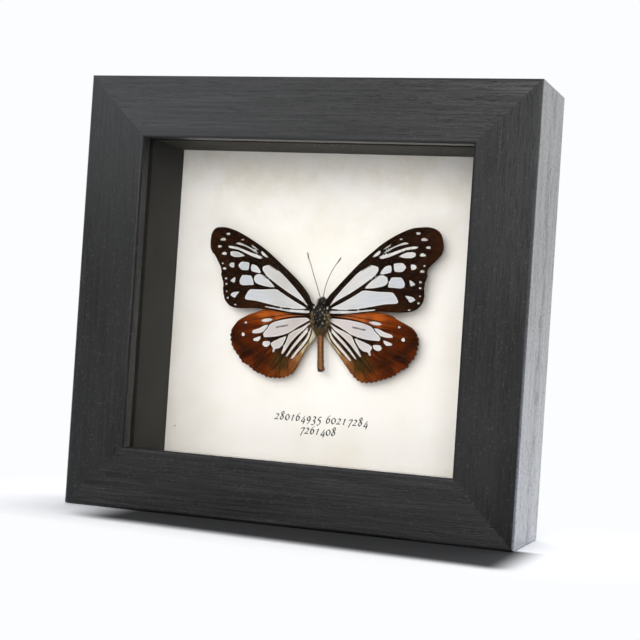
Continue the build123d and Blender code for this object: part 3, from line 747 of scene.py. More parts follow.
# %% All that is drawn for each kind of wing
DRAWINGS = {
    "forewing": {
        "outline": FOREWING, "left_outline": LEFT_FOREWING, "windows": FOREWING_WINDOWS,
        "dots": FOREWING_DOTS, "stroke": FOREWING_STROKE, "veins": FOREWING_VEINS,
        "ground": FOREWING_GROUND, "glaze": FOREWING_GLAZE, "scallop": 0.16, "margin": (35, 90),
    },
    "hindwing": {
        "outline": HINDWING, "left_outline": LEFT_HINDWING, "windows": HINDWING_WINDOWS,
        "dots": HINDWING_DOTS, "stroke": HINDWING_STROKE, "veins": HINDWING_VEINS,
        "ground": HINDWING_GROUND, "glaze": HINDWING_GLAZE, "scallop": 0.5, "margin": (12, 62),
    },
}
SIDES = (("left", -1), ("right", 1))
WINGS = [(side_name, side, kind) for side_name, side in SIDES for kind in DRAWINGS]
print(len(WINGS), "wings from", len(DRAWINGS), "drawings")

# %% [markdown]
# ## The net
# The outline and every window become edges of one triangle net, with a plain grid of corners
# in between, so the net is fine enough to carry colours and never cuts across a border.

# %% The net of a wing
SCALLOP_RATE = 1.85
DOT_CORNERS = 20
NET_SPACING = 0.5


def drawn_loops(kind, side):
    """A wing's outline and windows as rounded loops, its rim finely scalloped."""
    drawing = DRAWINGS[kind]
    outline = drawing["outline"]
    if side == -1:
        outline = carried(drawing["left_outline"], kind, side, back=True)
    outline = rounded(outline, 0.3)
    loops = [rounded(window, 0.25, crisp=0.55) for window in drawing["windows"]]
    turns = np.linspace(0, math.tau, DOT_CORNERS, endpoint=False)
    for x, z, wide, tall in drawing["dots"]:
        wobble = 1 + 0.12 * np.sin(3 * turns + x)
        across, up = (wide - 0.06) * np.cos(turns), (tall - 0.04) * np.sin(turns)
        loops.append(np.column_stack([x + wobble * across, z + wobble * up]))
    run = np.cumsum(np.linalg.norm(np.diff(outline, axis=0, prepend=outline[-1:]), axis=1))
    least_x, most_z = drawing["margin"]
    at_margin = (outline[:, 0] > least_x) & (outline[:, 1] < most_z)
    scallops = drawing["scallop"] * (1 - np.abs(np.sin(run * SCALLOP_RATE)))
    inward = outline.mean(axis=0) - outline
    inward /= np.linalg.norm(inward, axis=1)[:, None]
    return outline + inward * np.where(at_margin, scallops, 0)[:, None], loops


def wing_net(outline, loops, spacing):
    """Triangles that fill the outline, with edges along every loop."""
    points = [tuple(point) for point in outline]
    edges = []
    for loop in loops:
        start = len(points)
        points += [tuple(point) for point in loop]
        edges += [(start + i, start + (i + 1) % len(loop)) for i in range(len(loop))]
    low, high = outline.min(axis=0), outline.max(axis=0)
    fill = []
    for row, z in enumerate(np.arange(low[1], high[1], spacing * 0.87)):
        for x in np.arange(low[0] + spacing / 2 * (row % 2), high[0], spacing):
            fill.append((x, z))
    fill = np.array(fill)
    fill = fill[within(fill, outline)]
    for loop in [outline] + loops:
        fill = fill[distance(fill, loop) > spacing * 0.45]
    points += [tuple(point) for point in fill]
    vectors = [Vector(point) for point in points]
    made = delaunay_2d_cdt(vectors, edges, [list(range(len(outline)))], 1, 1e-4)
    return np.array([tuple(point) for point in made[0]]), made[2]


net_points, net_faces = wing_net(*drawn_loops("forewing", 1), NET_SPACING)
print("a forewing's net has", len(net_points), "corners and", len(net_faces), "triangles")

# %% [markdown]
# ## Closing a wing and giving it its numbers
# The net is laid twice, a front and a back layer a few tenths of a millimetre apart, and
# joined round the rim, so that the wing is a closed sheet. Its shape stays in the drawing
# until the last step, so both sides come from the same net.

# %% Mesh helpers
def store(mesh, name, values):
    """Stores one number for each corner of the mesh."""
    layer = mesh.attributes.new(name, "FLOAT", "POINT")
    layer.data.foreach_set("value", np.asarray(values, np.float32))


def store_colour(mesh, name, colours):
    """Stores one colour for each corner of the mesh."""
    layer = mesh.attributes.new(name, "FLOAT_COLOR", "POINT")
    layer.data.foreach_set("color", np.asarray(colours, np.float32).ravel())


def smooth(mesh):
    mesh.polygons.foreach_set("use_smooth", [True] * len(mesh.polygons))


def finish_mesh(bm, mesh):
    """Turns every face of a closed net outwards and hands the net over to the mesh."""
    bmesh.ops.recalc_face_normals(bm, faces=bm.faces)
    bm.to_mesh(mesh)
    bm.free()


def both_layers(faces, count):
    """The faces of a front layer, of a back layer `count` corners on, and of their rim."""
    uses = {}
    for face in faces:
        for first, second in zip(face, face[1:] + face[:1]):
            uses.setdefault(frozenset((first, second)), []).append((first, second))
    rim = [pairs[0] for pairs in uses.values() if len(pairs) == 1]
    quads = [(first, second, second + count, first + count) for first, second in rim]
    back = [tuple(corner + count for corner in reversed(face)) for face in faces]
    return [tuple(face) for face in faces] + back + quads


print("a triangle becomes", len(both_layers([[0, 1, 2]], 3)), "faces")

# %% Wing mesh
MAP_SIZE = 50
RIDGE_REACH = 0.7
EDGE_SHARE = 0.35
EDGE_REACH = 0.6


def wing_mesh(kind, side):
    """A closed wing in metres, with what its material needs stored on it."""
    drawing = DRAWINGS[kind]
    outline, loops = drawn_loops(kind, side)
    points, faces = wing_net(outline, loops, NET_SPACING)
    lines = [rounded(vein, 0.6, False) for vein in drawing["veins"]]
    to_vein = np.min([distance(points, line, False) for line in lines], axis=0)
    to_border = np.min([distance(points, loop) for loop in loops], axis=0)
    in_window = np.any([within(points, loop) for loop in loops], axis=0)
    to_rim = distance(points, outline)
    to_stroke = distance(points, rounded(drawing["stroke"], 0.3, False), False)
    placed = carried(points, kind, side)
    rise = VEIN_RISE * np.exp(-((to_vein / RIDGE_REACH) ** 2))
    middle = wing_depth(placed, kind, side) - rise
    inner = np.clip(to_rim / EDGE_REACH, 0, 1)
    half = MEMBRANE / 2 * (EDGE_SHARE + (1 - EDGE_SHARE) * inner)
    layers = [np.column_stack([placed[:, 0], depth, placed[:, 1]]) * MM
              for depth in (middle - half, middle + half)]
    mesh = bpy.data.meshes.new(f"{kind}_{side}")
    mesh.from_pydata(np.vstack(layers), [], both_layers(faces, len(points)))
    border = np.where(in_window, to_border, -to_border)
    for name, values in (("border", border), ("stroke", to_stroke), ("rim", to_rim)):
        store(mesh, name, np.tile(values, 2))
    glaze = drawing["glaze"] + (LEFT_GLAZE[kind] if side == -1 else [])
    for name, areas in (("ground", drawing["ground"]), ("glaze", glaze)):
        store_colour(mesh, name, np.tile(shaded(points, areas), (2, 1)))
    x, z = (points - ROOTS[kind]).T
    fan = np.column_stack([np.arctan2(z, x), np.hypot(x, z) / MAP_SIZE])
    corners = np.array([loop.vertex_index for loop in mesh.loops])
    for title, places in (("drawing", points / MAP_SIZE), ("fan", fan)):
        layer = mesh.uv_layers.new(name=title)
        layer.data.foreach_set("uv", np.tile(places, (2, 1))[corners].astype(np.float32).ravel())
    bm = bmesh.new()
    bm.from_mesh(mesh)
    finish_mesh(bm, mesh)
    smooth(mesh)
    return mesh


print("a wing is", MEMBRANE, "mm thick and", EDGE_SHARE * MEMBRANE, "mm at its rim")

# %% [markdown]
# ## Scales
# Scales are tiles about a tenth of a millimetre across in overlapping rows, each with its own
# shade. Stretched Voronoi cells stand for them. The border number from the net, roughened by
# the same cells, decides whether a spot shows dark ground scales or the thinly scaled window.
# Near a window's border the ground goes darker, and the window keeps a dusting of dark scales.

# %% Wing materials
HALO_REACH = 0.5


def wing_scales(name, halo, deep, warm, hem):
    """Scales whose dark ground has a halo round the windows, deep and warm streaks that fan
    out from the root, and a hem along the rim."""
    recipe = Recipe(name, Specular_IOR_Level=0.01)
    tiles = {"Vector": recipe.place((420, 250, 1), uv="drawing")}
    cells = recipe.add("TexVoronoi", tiles).node.outputs
    shade = recipe.add("SeparateColor", {0: cells["Color"]})
    patches = recipe.noise(recipe.place((30, 30, 1), uv="drawing"), detail=4)
    fan = recipe.noise(recipe.place((26, 3, 1), uv="fan"), detail=4, roughness=0.7)
    threads = recipe.noise(recipe.place((70, 5, 1), uv="fan"), detail=2)
    border, stroke, rim = (recipe.stored(value) for value in ("border", "stroke", "rim"))
    ground, glaze = (recipe.stored(value, "Color") for value in ("ground", "glaze"))
    # dark ground
    dark = recipe.wash(ground, deep, fan, 0.44, 0.62, 0.0, 0.58)
    dark = recipe.wash(dark, recipe.mix(0.55, ground, warm), fan, 0.48, 0.32, 0.0, 0.55)
    dark = recipe.wash(dark, halo, border, -HALO_REACH, -0.05, 0.0, 0.85)
    dark = recipe.wash(dark, hem, rim, 0.1, 0.55, 0.5, 0.0)
    dark = recipe.wash(dark, (12, 7, 5), shade, 0.0, 1.0, 0.0, 0.32)
    dark = recipe.wash(dark, recipe.mix(0.3, ground, (150, 88, 40)), patches, 0.45, 0.75, 0.0, 0.2)
    # pale windows
    pale = recipe.wash(glaze, (244, 241, 234), border, 0.0, 0.5, 0.6, 0.0)
    pale = recipe.wash(pale, (170, 169, 174), shade, 0.2, 1.0, 0.0, 0.1)
    pale = recipe.wash(pale, (164, 167, 174), threads, 0.45, 0.7, 0.0, 0.3)
    dusty = recipe.times(recipe.ramp(shade, 0.8, 0.95), recipe.ramp(border, 0.05, 0.6, 0.55, 0.0))
    pale = recipe.mix(dusty, pale, (70, 55, 45))
    # ground or window
    rough = recipe.plus(border, recipe.ramp(shade, 0.0, 1.0, -0.05, 0.05))
    share = recipe.ramp(rough, -0.09, 0.01)
    colour = recipe.mix(share, dark, pale)
    colour = recipe.wash(colour, (44, 30, 25), stroke, 0.1, 0.42, 0.9, 0.0)
    gloss = recipe.ramp(share, 0.0, 1.0, 0.62, 0.5)
    normal = recipe.bump(recipe.math("SUBTRACT", 1.0, cells["Distance"]), 0.00004, 0.5)
    return recipe.finish(Base_Color=colour, Roughness=gloss, Normal=normal)


SCALE_TONES = {
    "forewing": [(22, 14, 9), (20, 11, 6), (70, 38, 14), (26, 15, 9)],
    "hindwing": [(38, 19, 10), (38, 15, 5), (150, 66, 18), (88, 40, 14)],
}
scales = {kind: wing_scales(f"{kind}_scales", *tones) for kind, tones in SCALE_TONES.items()}
for side_name, side, kind in WINGS:
    mesh = wing_mesh(kind, side)
    mesh.materials.append(scales[kind])
    wing = add_object(f"{side_name}_{kind}_scaled", mesh)
    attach(wing, "case")
    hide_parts(f"{side_name}_{kind}")
    print(wing.name, len(mesh.polygons), "faces")

# %% [markdown]
# ## Geometry Nodes by recipe
# Hairs, veins, antenna rings and screws repeat or follow something, so Geometry Nodes make
# them. A tree here has named sizes; `grow` sets them, runs the tree on an object and keeps
# the result as a plain mesh, because only plain meshes are handed on.

# %% Geometry Nodes helpers
class Maker(Tree):
    """A Geometry Nodes tree that takes geometry and named sizes. A size is a number, three
    numbers, or the name of the kind of thing that will be given."""

    prefix = "GeometryNode"

    def __init__(self, name, sizes):
        self.tree = bpy.data.node_groups.new(name, "GeometryNodeTree")
        super().__init__(self.tree)
        face = self.tree.interface
        for in_out in ("OUTPUT", "INPUT"):
            face.new_socket("Geometry", in_out=in_out, socket_type="NodeSocketGeometry")
        self.keys = {}
        for title, value in sizes.items():
            kind = {int: "Int", float: "Float", tuple: "Vector"}.get(type(value), value)
            socket = face.new_socket(title, in_out="INPUT", socket_type=f"NodeSocket{kind}")
            self.keys[title] = socket.identifier
            if kind != value:
                socket.default_value = value
        self.given = self.nodes.new("NodeGroupInput").outputs
        self.output = self.nodes.new("NodeGroupOutput")

    def end(self, geometry):
        """Realizes the instances and gives them the material called Finish."""
        real = self.add("RealizeInstances", {0: geometry})
        done = self.add("SetMaterial", {"Geometry": real, "Material": self.given["Finish"]})
        self.put(done, self.output.inputs[0])
        return self


def grow(name, source, maker, **sizes):
    """Runs a tree on the source object and gives its result as a new object."""
    modifier = source.modifiers.new("grow", "NODES")
    modifier.node_group = maker.tree
    for title, value in sizes.items():
        modifier[maker.keys[title]] = value
    depsgraph = bpy.context.evaluated_depsgraph_get()
    depsgraph.update()
    mesh = bpy.data.meshes.new_from_object(source.evaluated_get(depsgraph), depsgraph=depsgraph)
    source.modifiers.remove(modifier)
    mesh.name = name
    smooth(mesh)
    print(name, "has", len(mesh.polygons), "faces")
    return add_object(name, mesh)


def belongs(piece, slot, *nodes, body="case"):
    """A finished piece rides on its body and stands for its CAD nodes, which are hidden. `slot` is
    not used.
    """
    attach(piece, body)
    if nodes:
        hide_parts(*nodes)


def discard(thing):
    mesh = thing.data
    bpy.data.objects.remove(thing)
    bpy.data.meshes.remove(mesh)


print("a tree of our own adds nodes named", Maker.prefix + "...")

# %% [markdown]
# ## Raised veins
# Each vein is a line of corners laid on the wing's own surface, with its thickness stored at
# every corner. The tree turns lines into curves and sweeps a small six-sided tube along them,
# so all the veins of a wing become one piece.

# %% Vein tree
def tube_maker(name):
    """Sweeps a tube along mesh lines, as thick as their own `thickness` says."""
    maker = Maker(name, {"Sides": 6, "Finish": "Material"})
    line = maker.add("MeshToCurve", {"Mesh": maker.given["Geometry"]})
    thickness = maker.add("InputNamedAttribute", {"Name": "thickness"}, data_type="FLOAT")
    ring = maker.add("CurvePrimitiveCircle", {"Resolution": maker.given["Sides"], "Radius": 1.0})
    inputs = {"Curve": line, "Profile Curve": ring, "Scale": thickness, "Fill Caps": True}
    return maker.end(maker.add("CurveToMesh", inputs))


def line_object(name, lines, thicknesses):
    """Lines of corners in metres, with a thickness in metres at each."""
    mesh = bpy.data.meshes.new(name)
    corners, edges = [], []
    for line in lines:
        start = len(corners)
        corners += [tuple(point) for point in line]
        edges += [(start + i, start + i + 1) for i in range(len(line) - 1)]
    mesh.from_pydata(corners, edges, [])
    store(mesh, "thickness", np.concatenate(thicknesses))
    return add_object(name, mesh)


tubes = tube_maker("tubes")
print("tube sizes:", list(tubes.keys))

# %% Veins on the wings
LEADING_RADIUS = 0.27
ROOT_RADIUS = 0.17
TIP_RADIUS = 0.07
VEIN_LIFT = 0.05
HIDDEN_UNDER = 0.16
RIM_GAP = 0.2
vein_recipe = Recipe("dark_veins", Specular_IOR_Level=0.03, Roughness=0.6)
vein_colour = vein_recipe.mix(vein_recipe.noise(3000, detail=2), (16, 9, 6), (38, 22, 13))
dark_veins = vein_recipe.finish(Base_Color=vein_colour)


def laid(line, kind, side):
    """Drawn points laid on the front of a wing, in metres."""
    placed = carried(line, kind, side)
    depth = wing_depth(placed, kind, side) - VEIN_RISE - MEMBRANE / 2 - VEIN_LIFT
    return np.column_stack([placed[:, 0], depth, placed[:, 1]]) * MM


def outside(line, outline, loops):
    """The stretches of a vein that lie on the wing and outside all its windows."""
    covers = [within(line, loop) & (distance(line, loop) > HIDDEN_UNDER) for loop in loops]
    hidden = np.any(covers, axis=0)
    hidden |= ~within(line, outline) | (distance(line, outline) < RIM_GAP)
    stretches, current = [], []
    for index, inside in enumerate(hidden):
        if not inside:
            current.append(index)
        if current and (inside or index == len(line) - 1):
            if len(current) > 2:
                stretches.append(current)
            current = []
    return stretches


for side_name, side, kind in WINGS:
    lines, sizes = [], []
    outline, loops = drawn_loops(kind, side)
    for number, vein in enumerate(DRAWINGS[kind]["veins"]):
        line = rounded(vein, 0.4, False)
        root = ROOT_RADIUS if number else LEADING_RADIUS
        shares = np.linspace(0, 1, len(line)) * min(1, len(line) / 50)
        thick = (root * (1 - shares) + TIP_RADIUS * shares) * MM
        placed = laid(line, kind, side)
        for stretch in outside(line, outline, loops):
            lines.append(placed[stretch])
            sizes.append(thick[stretch])
    source = line_object("vein_lines", lines, sizes)
    piece = grow(f"{side_name}_{kind}_veins", source, tubes, Finish=dark_veins)
    belongs(piece, f"{kind}_scales")
    discard(source)

# %% [markdown]
# ## Turned forms
# The thorax, head and abdomen are soft ovals with no flat on them. A list of heights and
# radii, rounded by the same curve as the wings' outlines and turned about an axis, gives each
# one, and the axis can be placed and bent afterwards.

# %% A turned form
BODY = Vector((SPECIMEN_X, 9.91, 66.3))


def turned(name, stations, sides, place, flat=1.0, wave=None):
    """Turns stations (height, radius) in mm about Z, squashes them in Y by `flat`, lets `wave`
    change the radius by height and angle, and carries them to `place` in the case."""
    profile = rounded(stations, 0.16, False)
    profile[:, 1] = np.maximum(profile[:, 1], 0.02)
    bm = bmesh.new()
    rings = []
    for height, radius in profile:
        ring = []
        for step in range(sides):
            angle = math.tau * step / sides
            reach = radius * (wave(height, angle) if wave else 1.0)
            point = Vector((reach * math.cos(angle), flat * reach * math.sin(angle), height))
            ring.append(bm.verts.new(place @ point * MM))
        rings.append(ring)
    for lower, upper in zip(rings, rings[1:]):
        for step in range(sides):
            after = (step + 1) % sides
            bm.faces.new((lower[step], lower[after], upper[after], upper[step]))
    bm.faces.new(rings[0][::-1])
    bm.faces.new(rings[-1])
    mesh = bpy.data.meshes.new(name)
    finish_mesh(bm, mesh)
    smooth(mesh)
    print(name, "has", len(mesh.polygons), "faces")
    return add_object(name, mesh)


def join(name, pieces):
    """Joins bare pieces into one."""
    bm = bmesh.new()
    for piece in pieces:
        bm.from_mesh(piece.data)
    mesh = bpy.data.meshes.new(name)
    bm.to_mesh(mesh)
    bm.free()
    for piece in pieces:
        discard(piece)
    return add_object(name, mesh)


def at(x, y, z):
    """A move to a place given in millimetres."""
    return Matrix.Translation((x, y, z))


def corners_of(mesh):
    """A mesh's corners in millimetres."""
    flat = np.zeros(3 * len(mesh.vertices))
    mesh.vertices.foreach_get("co", flat)
    return flat.reshape(-1, 3) / MM


print("the body's middle is at", [round(value, 2) for value in BODY], "mm")

# %% [markdown]
# ## Hair
# The body is furred. One tree scatters slim three-sided cones over a skin and leans them from
# the skin's normal towards the way the fur is combed. A value called `pale`, stored on the
# skin, goes along with every hair, so the cream dots of the fur are in the hairs as well.

# %% Hair tree
def hair_maker():
    sizes = {"Density": 1.0e7, "Length": 0.0009, "Thickness": 0.00004, "Lift": 0.8}
    sizes.update({"Comb": (0.0, 0.0, -1.0), "Ruffle": 0.35, "Seed": 1, "Finish": "Material"})
    maker = Maker("hair", sizes)
    given = maker.given

    def vector(operation, first, others):
        inputs = {0: first, **others}
        return maker.add("ShaderNodeVectorMath", inputs, operation=operation)

    scatter = {"Mesh": given["Geometry"], "Density": given["Density"], "Seed": given["Seed"]}
    points = maker.add("DistributePointsOnFaces", scatter)
    lifted = vector("SCALE", points.node.outputs["Normal"], {3: given["Lift"]})
    combed = vector("ADD", lifted, {1: given["Comb"]})
    wide = {0: (-1.0, -1.0, -1.0), 1: (1.0, 1.0, 1.0), "Seed": given["Seed"]}
    stray = maker.add("FunctionNodeRandomValue", wide, data_type="FLOAT_VECTOR")
    lean = vector("ADD", combed, {1: vector("SCALE", stray, {3: given["Ruffle"]})})
    turn = maker.add("FunctionNodeAlignRotationToVector", {"Vector": lean}, axis="Z")
    shape = {"Vertices": 3, "Radius Top": 0.0, "Radius Bottom": given["Thickness"]}
    hair = maker.add("MeshCone", {**shape, "Depth": given["Length"]})
    spread = {2: 0.55, 3: 1.25, "Seed": given["Seed"]}
    length = maker.add("FunctionNodeRandomValue", spread, result=1, data_type="FLOAT")
    placed = {"Points": points, "Instance": hair, "Rotation": turn, "Scale": length}
    return maker.end(maker.add("InstanceOnPoints", placed))


def furred(skin, name, material, *nodes, slot="black_scaled_body", hair=None, **sizes):
    """Gives a skin its material, grows hair on it, and sets both on the case in place of the CAD
    nodes given.
    """
    skin.data.materials.append(material)
    belongs(skin, slot, *nodes)
    belongs(grow(name, skin, hairs, Finish=hair or material, **sizes), slot)


hairs = hair_maker()
print("hair sizes:", list(hairs.keys))

# %% [markdown]
# ## Thorax
# Three fused segments that carry the wings, in black fur with cream dots. The skin is a
# turned oval; the dots are listed one by one, as they stand in rows on the living animal, and
# stored at the skin's corners for both the skin's colour and the hairs.

# %% Fur material and dots
THORAX_DOTS = [
    (0.7, 68.8, 0.22), (1.55, 67.9, 0.2), (2.25, 66.0, 0.24), (-1.1, 67.2, 0.2), (1.7, 64.4, 0.28),
    (-1.25, 64.9, 0.2), (0.5, 62.7, 0.18), (1.5, 62.6, 0.2), (-1.6, 66.0, 0.16), (0.9, 66.9, 0.12),
    (-0.2, 68.3, 0.12), (2.2, 67.2, 0.18), (-1.7, 68.5, 0.18), (0.2, 65.3, 0.12),
    (-0.4, 63.6, 0.13), (0.9, 65.6, 0.1), (-0.6, 66.1, 0.1), (1.1, 63.5, 0.12), (-1.3, 63.5, 0.14),
    (1.9, 69.0, 0.13),
]
TUFT_DOTS = [
    (-2.5, 67.4, 0.3), (-2.9, 66.2, 0.28), (-2.4, 64.9, 0.26), (-1.6, 63.2, 0.2), (3.0, 67.1, 0.3),
    (3.4, 66.0, 0.24), (3.0, 64.9, 0.26), (2.5, 63.1, 0.2), (-1.9, 65.8, 0.16), (2.6, 65.8, 0.16),
]
HEAD_DOTS = [
    (-0.6, 71.2, 0.12), (0.8, 71.7, 0.12), (1.5, 72.1, 0.10), (-0.3, 72.3, 0.09), (1.5, 70.9, 0.11),
]


def fur(name, dark, light, shine):
    """Hair that is dark with shining flecks, and light where `pale` is 1."""
    recipe = Recipe(name, Specular_IOR_Level=0.3, Roughness=0.75)
    base = recipe.wash(dark, shine, recipe.noise(2600, detail=2), 0.45, 0.7)
    return recipe.finish(Base_Color=recipe.mix(recipe.stored("pale"), base, light))


def mark_pale(mesh, dots, soft=0.14):
    """Stores `pale`: 1 inside long dots on the side that faces the glass."""
    places = corners_of(mesh)
    pale = np.zeros(len(places))
    for x, z, radius in dots:
        away = np.hypot(places[:, 0] - x, 0.6 * (places[:, 2] - z))
        pale = np.maximum(pale, np.clip((0.85 * radius - away) / soft + 0.5, 0, 1))
    pale *= places[:, 1] < BODY.y + 0.6
    store(mesh, "pale", pale)


black_fur = fur("black_fur", (15, 13, 12), (206, 197, 172), (58, 52, 41))
olive_fur = fur("olive_fur", (92, 74, 44), (178, 158, 114), (160, 134, 90))
brown_fur = fur("brown_fur", (62, 38, 18), (124, 78, 36), (108, 66, 28))
print(len(THORAX_DOTS) + len(TUFT_DOTS) + len(HEAD_DOTS), "pale dots")

# %% Thorax
THORAX = [
    (-4.30, 0.0), (-4.25, 0.8), (-3.9, 1.35), (-2.8, 1.95), (-1.0, 2.35), (0.6, 2.45), (2.0, 2.3),
    (3.2, 1.9), (4.0, 1.35), (4.35, 0.7), (4.4, 0.0),
]
thorax = turned("thorax_skin", THORAX, 72, at(*BODY), 1.05)
mark_pale(thorax.data, THORAX_DOTS)
furred(thorax, "thorax_fur", black_fur, "thorax", Density=4.6e7, Length=0.0007,
       Thickness=0.000045, Lift=0.75, Comb=(0.0, 0.15, -0.9), Ruffle=0.45, Seed=3)

# %% [markdown]
# ## Tegulae, waist and tufts
# A small scaled flap, the tegula, covers each forewing's root like a shoulder pad. Below, the
# thorax tapers into a waist with longer olive-brown hair that hides where the abdomen joins,
# and tufts of the same hair with cream spots fill the corners between the thorax and the roots
# of the wings.

# %% Tegulae
TEGULA = [(-1.5, 0.0), (-1.4, 0.3), (-0.6, 0.62), (0.5, 0.6), (1.3, 0.3), (1.4, 0.0)]
for side_name, side in SIDES:
    lean = Matrix.Rotation(math.radians(side * 24), 4, "Y")
    place = at(SPECIMEN_X + side * 2.15, BODY.y - 0.75, 68.8) @ lean
    pad = turned(f"{side_name}_tegula", TEGULA, 24, place, 0.8)
    dots = ((2.3, 69.4), (2.0, 68.0))
    mark_pale(pad.data, [(SPECIMEN_X + side * out, z, 0.3) for out, z in dots])
    furred(pad, f"{side_name}_tegula_fur", black_fur, Density=4.0e7, Length=0.0008, Lift=0.4,
           Comb=(side * 0.5, 0.0, -0.8), Ruffle=0.35, Seed=5)

# %% Waist hair
WAIST = [(-1.4, 0.0), (-1.3, 0.9), (-0.3, 1.35), (0.8, 1.75), (1.5, 1.5), (1.6, 0.0)]
waist = turned("waist", WAIST, 40, at(SPECIMEN_X, BODY.y, 62.1), 0.95)
furred(waist, "waist_fur", olive_fur, Density=5.5e7, Length=0.0013, Thickness=0.00005, Lift=0.5,
       Comb=(0.0, 0.1, -0.95), Ruffle=0.4, Seed=8)

# %% Tufts at the wing roots
TUFT = [(-1, 0.0), (-0.8, 0.5), (0, 0.75), (0.8, 0.5), (1, 0.0)]
tufts = []
for side in (-1, 1):
    for height, out, size in ((66.7, 2.5, 0.9), (64.6, 2.35, 0.95), (62.9, 1.8, 0.9)):
        place = at(SPECIMEN_X + side * out, BODY.y - 0.5, height)
        tufts.append(turned("tuft", [(h * size, r * size) for h, r in TUFT], 20, place))
tufts = join("wing_root_tufts", tufts)
mark_pale(tufts.data, TUFT_DOTS)
furred(tufts, "wing_root_fur", olive_fur, Density=5.0e7, Length=0.0009, Thickness=0.00004,
       Lift=0.7, Comb=(0.0, -0.2, -0.6), Ruffle=0.6, Seed=9)

# %% [markdown]
# ## Head
# A small black ball with a tuft between the antennae, two domed eyes and two furry palps that
# point forwards. The eyes are thousands of facets: a cell pattern as bump is enough.

# %% Head
HEAD = Vector((SPECIMEN_X + 0.15, BODY.y, 70.8))
HEAD_RADIUS = 1.42


def ball(radius):
    """Stations of a ball that is a tenth longer than it is wide."""
    angles = [math.radians(angle) for angle in range(-90, 91, 15)]
    return [(math.sin(angle) * 1.1 * radius, math.cos(angle) * radius) for angle in angles]


skull = turned("head_skin", ball(HEAD_RADIUS), 40, at(*HEAD), 0.95)
mark_pale(skull.data, HEAD_DOTS)
furred(skull, "head_fur", black_fur, "head", Density=5.5e7, Length=0.00095, Thickness=0.00005,
       Lift=0.9, Comb=(0.0, -0.2, 0.45), Ruffle=0.7, Seed=11)

# %% Eyes
eye_recipe = Recipe("faceted_eye", Roughness=0.22)
cells = {"Vector": eye_recipe.place(1), "Scale": 9000.0}
facets = eye_recipe.add("TexVoronoi", cells, result="Distance", feature="DISTANCE_TO_EDGE")
rim = eye_recipe.ramp(facets, 0.0, 0.25)
eye_colour = eye_recipe.mix(rim, (10, 8, 7), (52, 33, 22))
eye_recipe.finish(Base_Color=eye_colour, Normal=eye_recipe.bump(rim, 0.00003, 0.7))
eyes = []
for side in (-1, 1):
    place = at(*(HEAD + Vector((side * 1.08, -0.1, 0.1))))
    eyes.append(turned("eye", ball(0.62), 32, place, 1.15))
eyes = join("compound_eyes_domed", eyes)
eyes.data.materials.append(eye_recipe.material)
belongs(eyes, "dark_eyes", "compound_eyes")

# %% Palps
PALP = [(0, 0.0), (0.05, 0.2), (0.5, 0.26), (0.95, 0.16), (1.15, 0.06), (1.2, 0.0)]
palps = []
for side in (-1, 1):
    outwards = Matrix.Rotation(math.radians(side * 9), 4, "Y")
    forwards = Matrix.Rotation(math.radians(20), 4, "X")
    place = at(*(HEAD + Vector((side * 0.36, 0.25, 0.75)))) @ outwards @ forwards
    palps.append(turned("palp", PALP, 16, place))
palps = join("labial_palps_skin", palps)
store(palps.data, "pale", (corners_of(palps.data)[:, 2] > HEAD.z + 1.45) * 0.5)
furred(palps, "labial_palps_fur", black_fur, "labial_palps", Density=6.0e7, Length=0.0004,
       Thickness=0.00003, Lift=0.6, Comb=(0.0, 0.0, 0.6), Ruffle=0.4, Seed=13)

# %% [markdown]
# ## Antennae
# Each antenna is a thread of some forty short joints that thickens into a club. The line
# follows an arc from the forehead, and the thickness stored along it swells at every joint, so
# the same tube tree that made the veins turns it into a jointed thread.

# %% Antennae
ANTENNA_LINES = {
    "left": [(0.05, 72.2), (-1.35, 76.0), (-3.0, 80.2), (-4.3, 83.8), (-5.2, 85.8), (-5.6, 87.5)],
    "right": [(0.85, 72.2), (1.35, 76.0), (2.65, 80.2), (4.3, 83.4), (5.3, 84.8), (6.2, 86.3)],
}
JOINTS = 42
antenna = Recipe("jointed_antenna", Specular_IOR_Level=0.35, Roughness=0.55)
bands = antenna.noise((900, 900, 2400), detail=1)
antenna.finish(Base_Color=antenna.mix(bands, (22, 18, 16), (66, 58, 50)))

for side_name, line in ANTENNA_LINES.items():
    path = rounded(line, 0.07, False)
    share = np.linspace(0, 1, len(path))
    ripple = 0.5 + 0.5 * np.cos(math.tau * JOINTS * share)
    thread = 0.105 + 0.012 * ripple
    club = np.clip((share - 0.78) / 0.14, 0, 1)
    club = 0.085 * club * club * (3 - 2 * club)
    tip = np.clip((1 - share) / 0.03, 0.05, 1) ** 0.5
    places = np.column_stack([path[:, 0], np.full(len(path), BODY.y - 0.45), path[:, 1]]) * MM
    source = line_object("antenna_line", [places], [(thread + club) * tip * MM])
    piece = grow(f"{side_name}_antenna_jointed", source, tubes, Sides=10, Finish=antenna.material)
    belongs(piece, "black_antenna", f"{side_name}_antenna")
    discard(source)

# %% [markdown]
# ## Abdomen
# Nine rings that slide over one another, worn by drying: brown, darker down the left edge, with
# a paler stripe and short bristles, and a blunt dark tip. The radius steps at each ring, and
# the material reads how far along and how far round each point lies, stored on the mesh.

# %% Abdomen
ABDOMEN_LENGTH = 14.0
RINGS = 9
LEAN = 4.2
ABDOMEN = [
    (0, 0.0), (0.05, 0.9), (1.0, 1.12), (3.0, 1.04), (6.0, 1.0), (9.0, 1.02), (11.8, 1.06),
    (13.0, 1.08), (13.7, 0.92), (14.0, 0.5), (14.05, 0.0),
]


def ringed(height, angle):
    """Each ring swells a little to its hind edge and then steps in; one side bulges near the
    tip."""
    swell = 0.045 * (height / ABDOMEN_LENGTH * RINGS % 1.0) - 0.02
    bulge = 0.3 * max(0, -math.cos(angle)) * math.exp(-((height - 13.2) / 0.6) ** 2)
    return 1 + swell + bulge


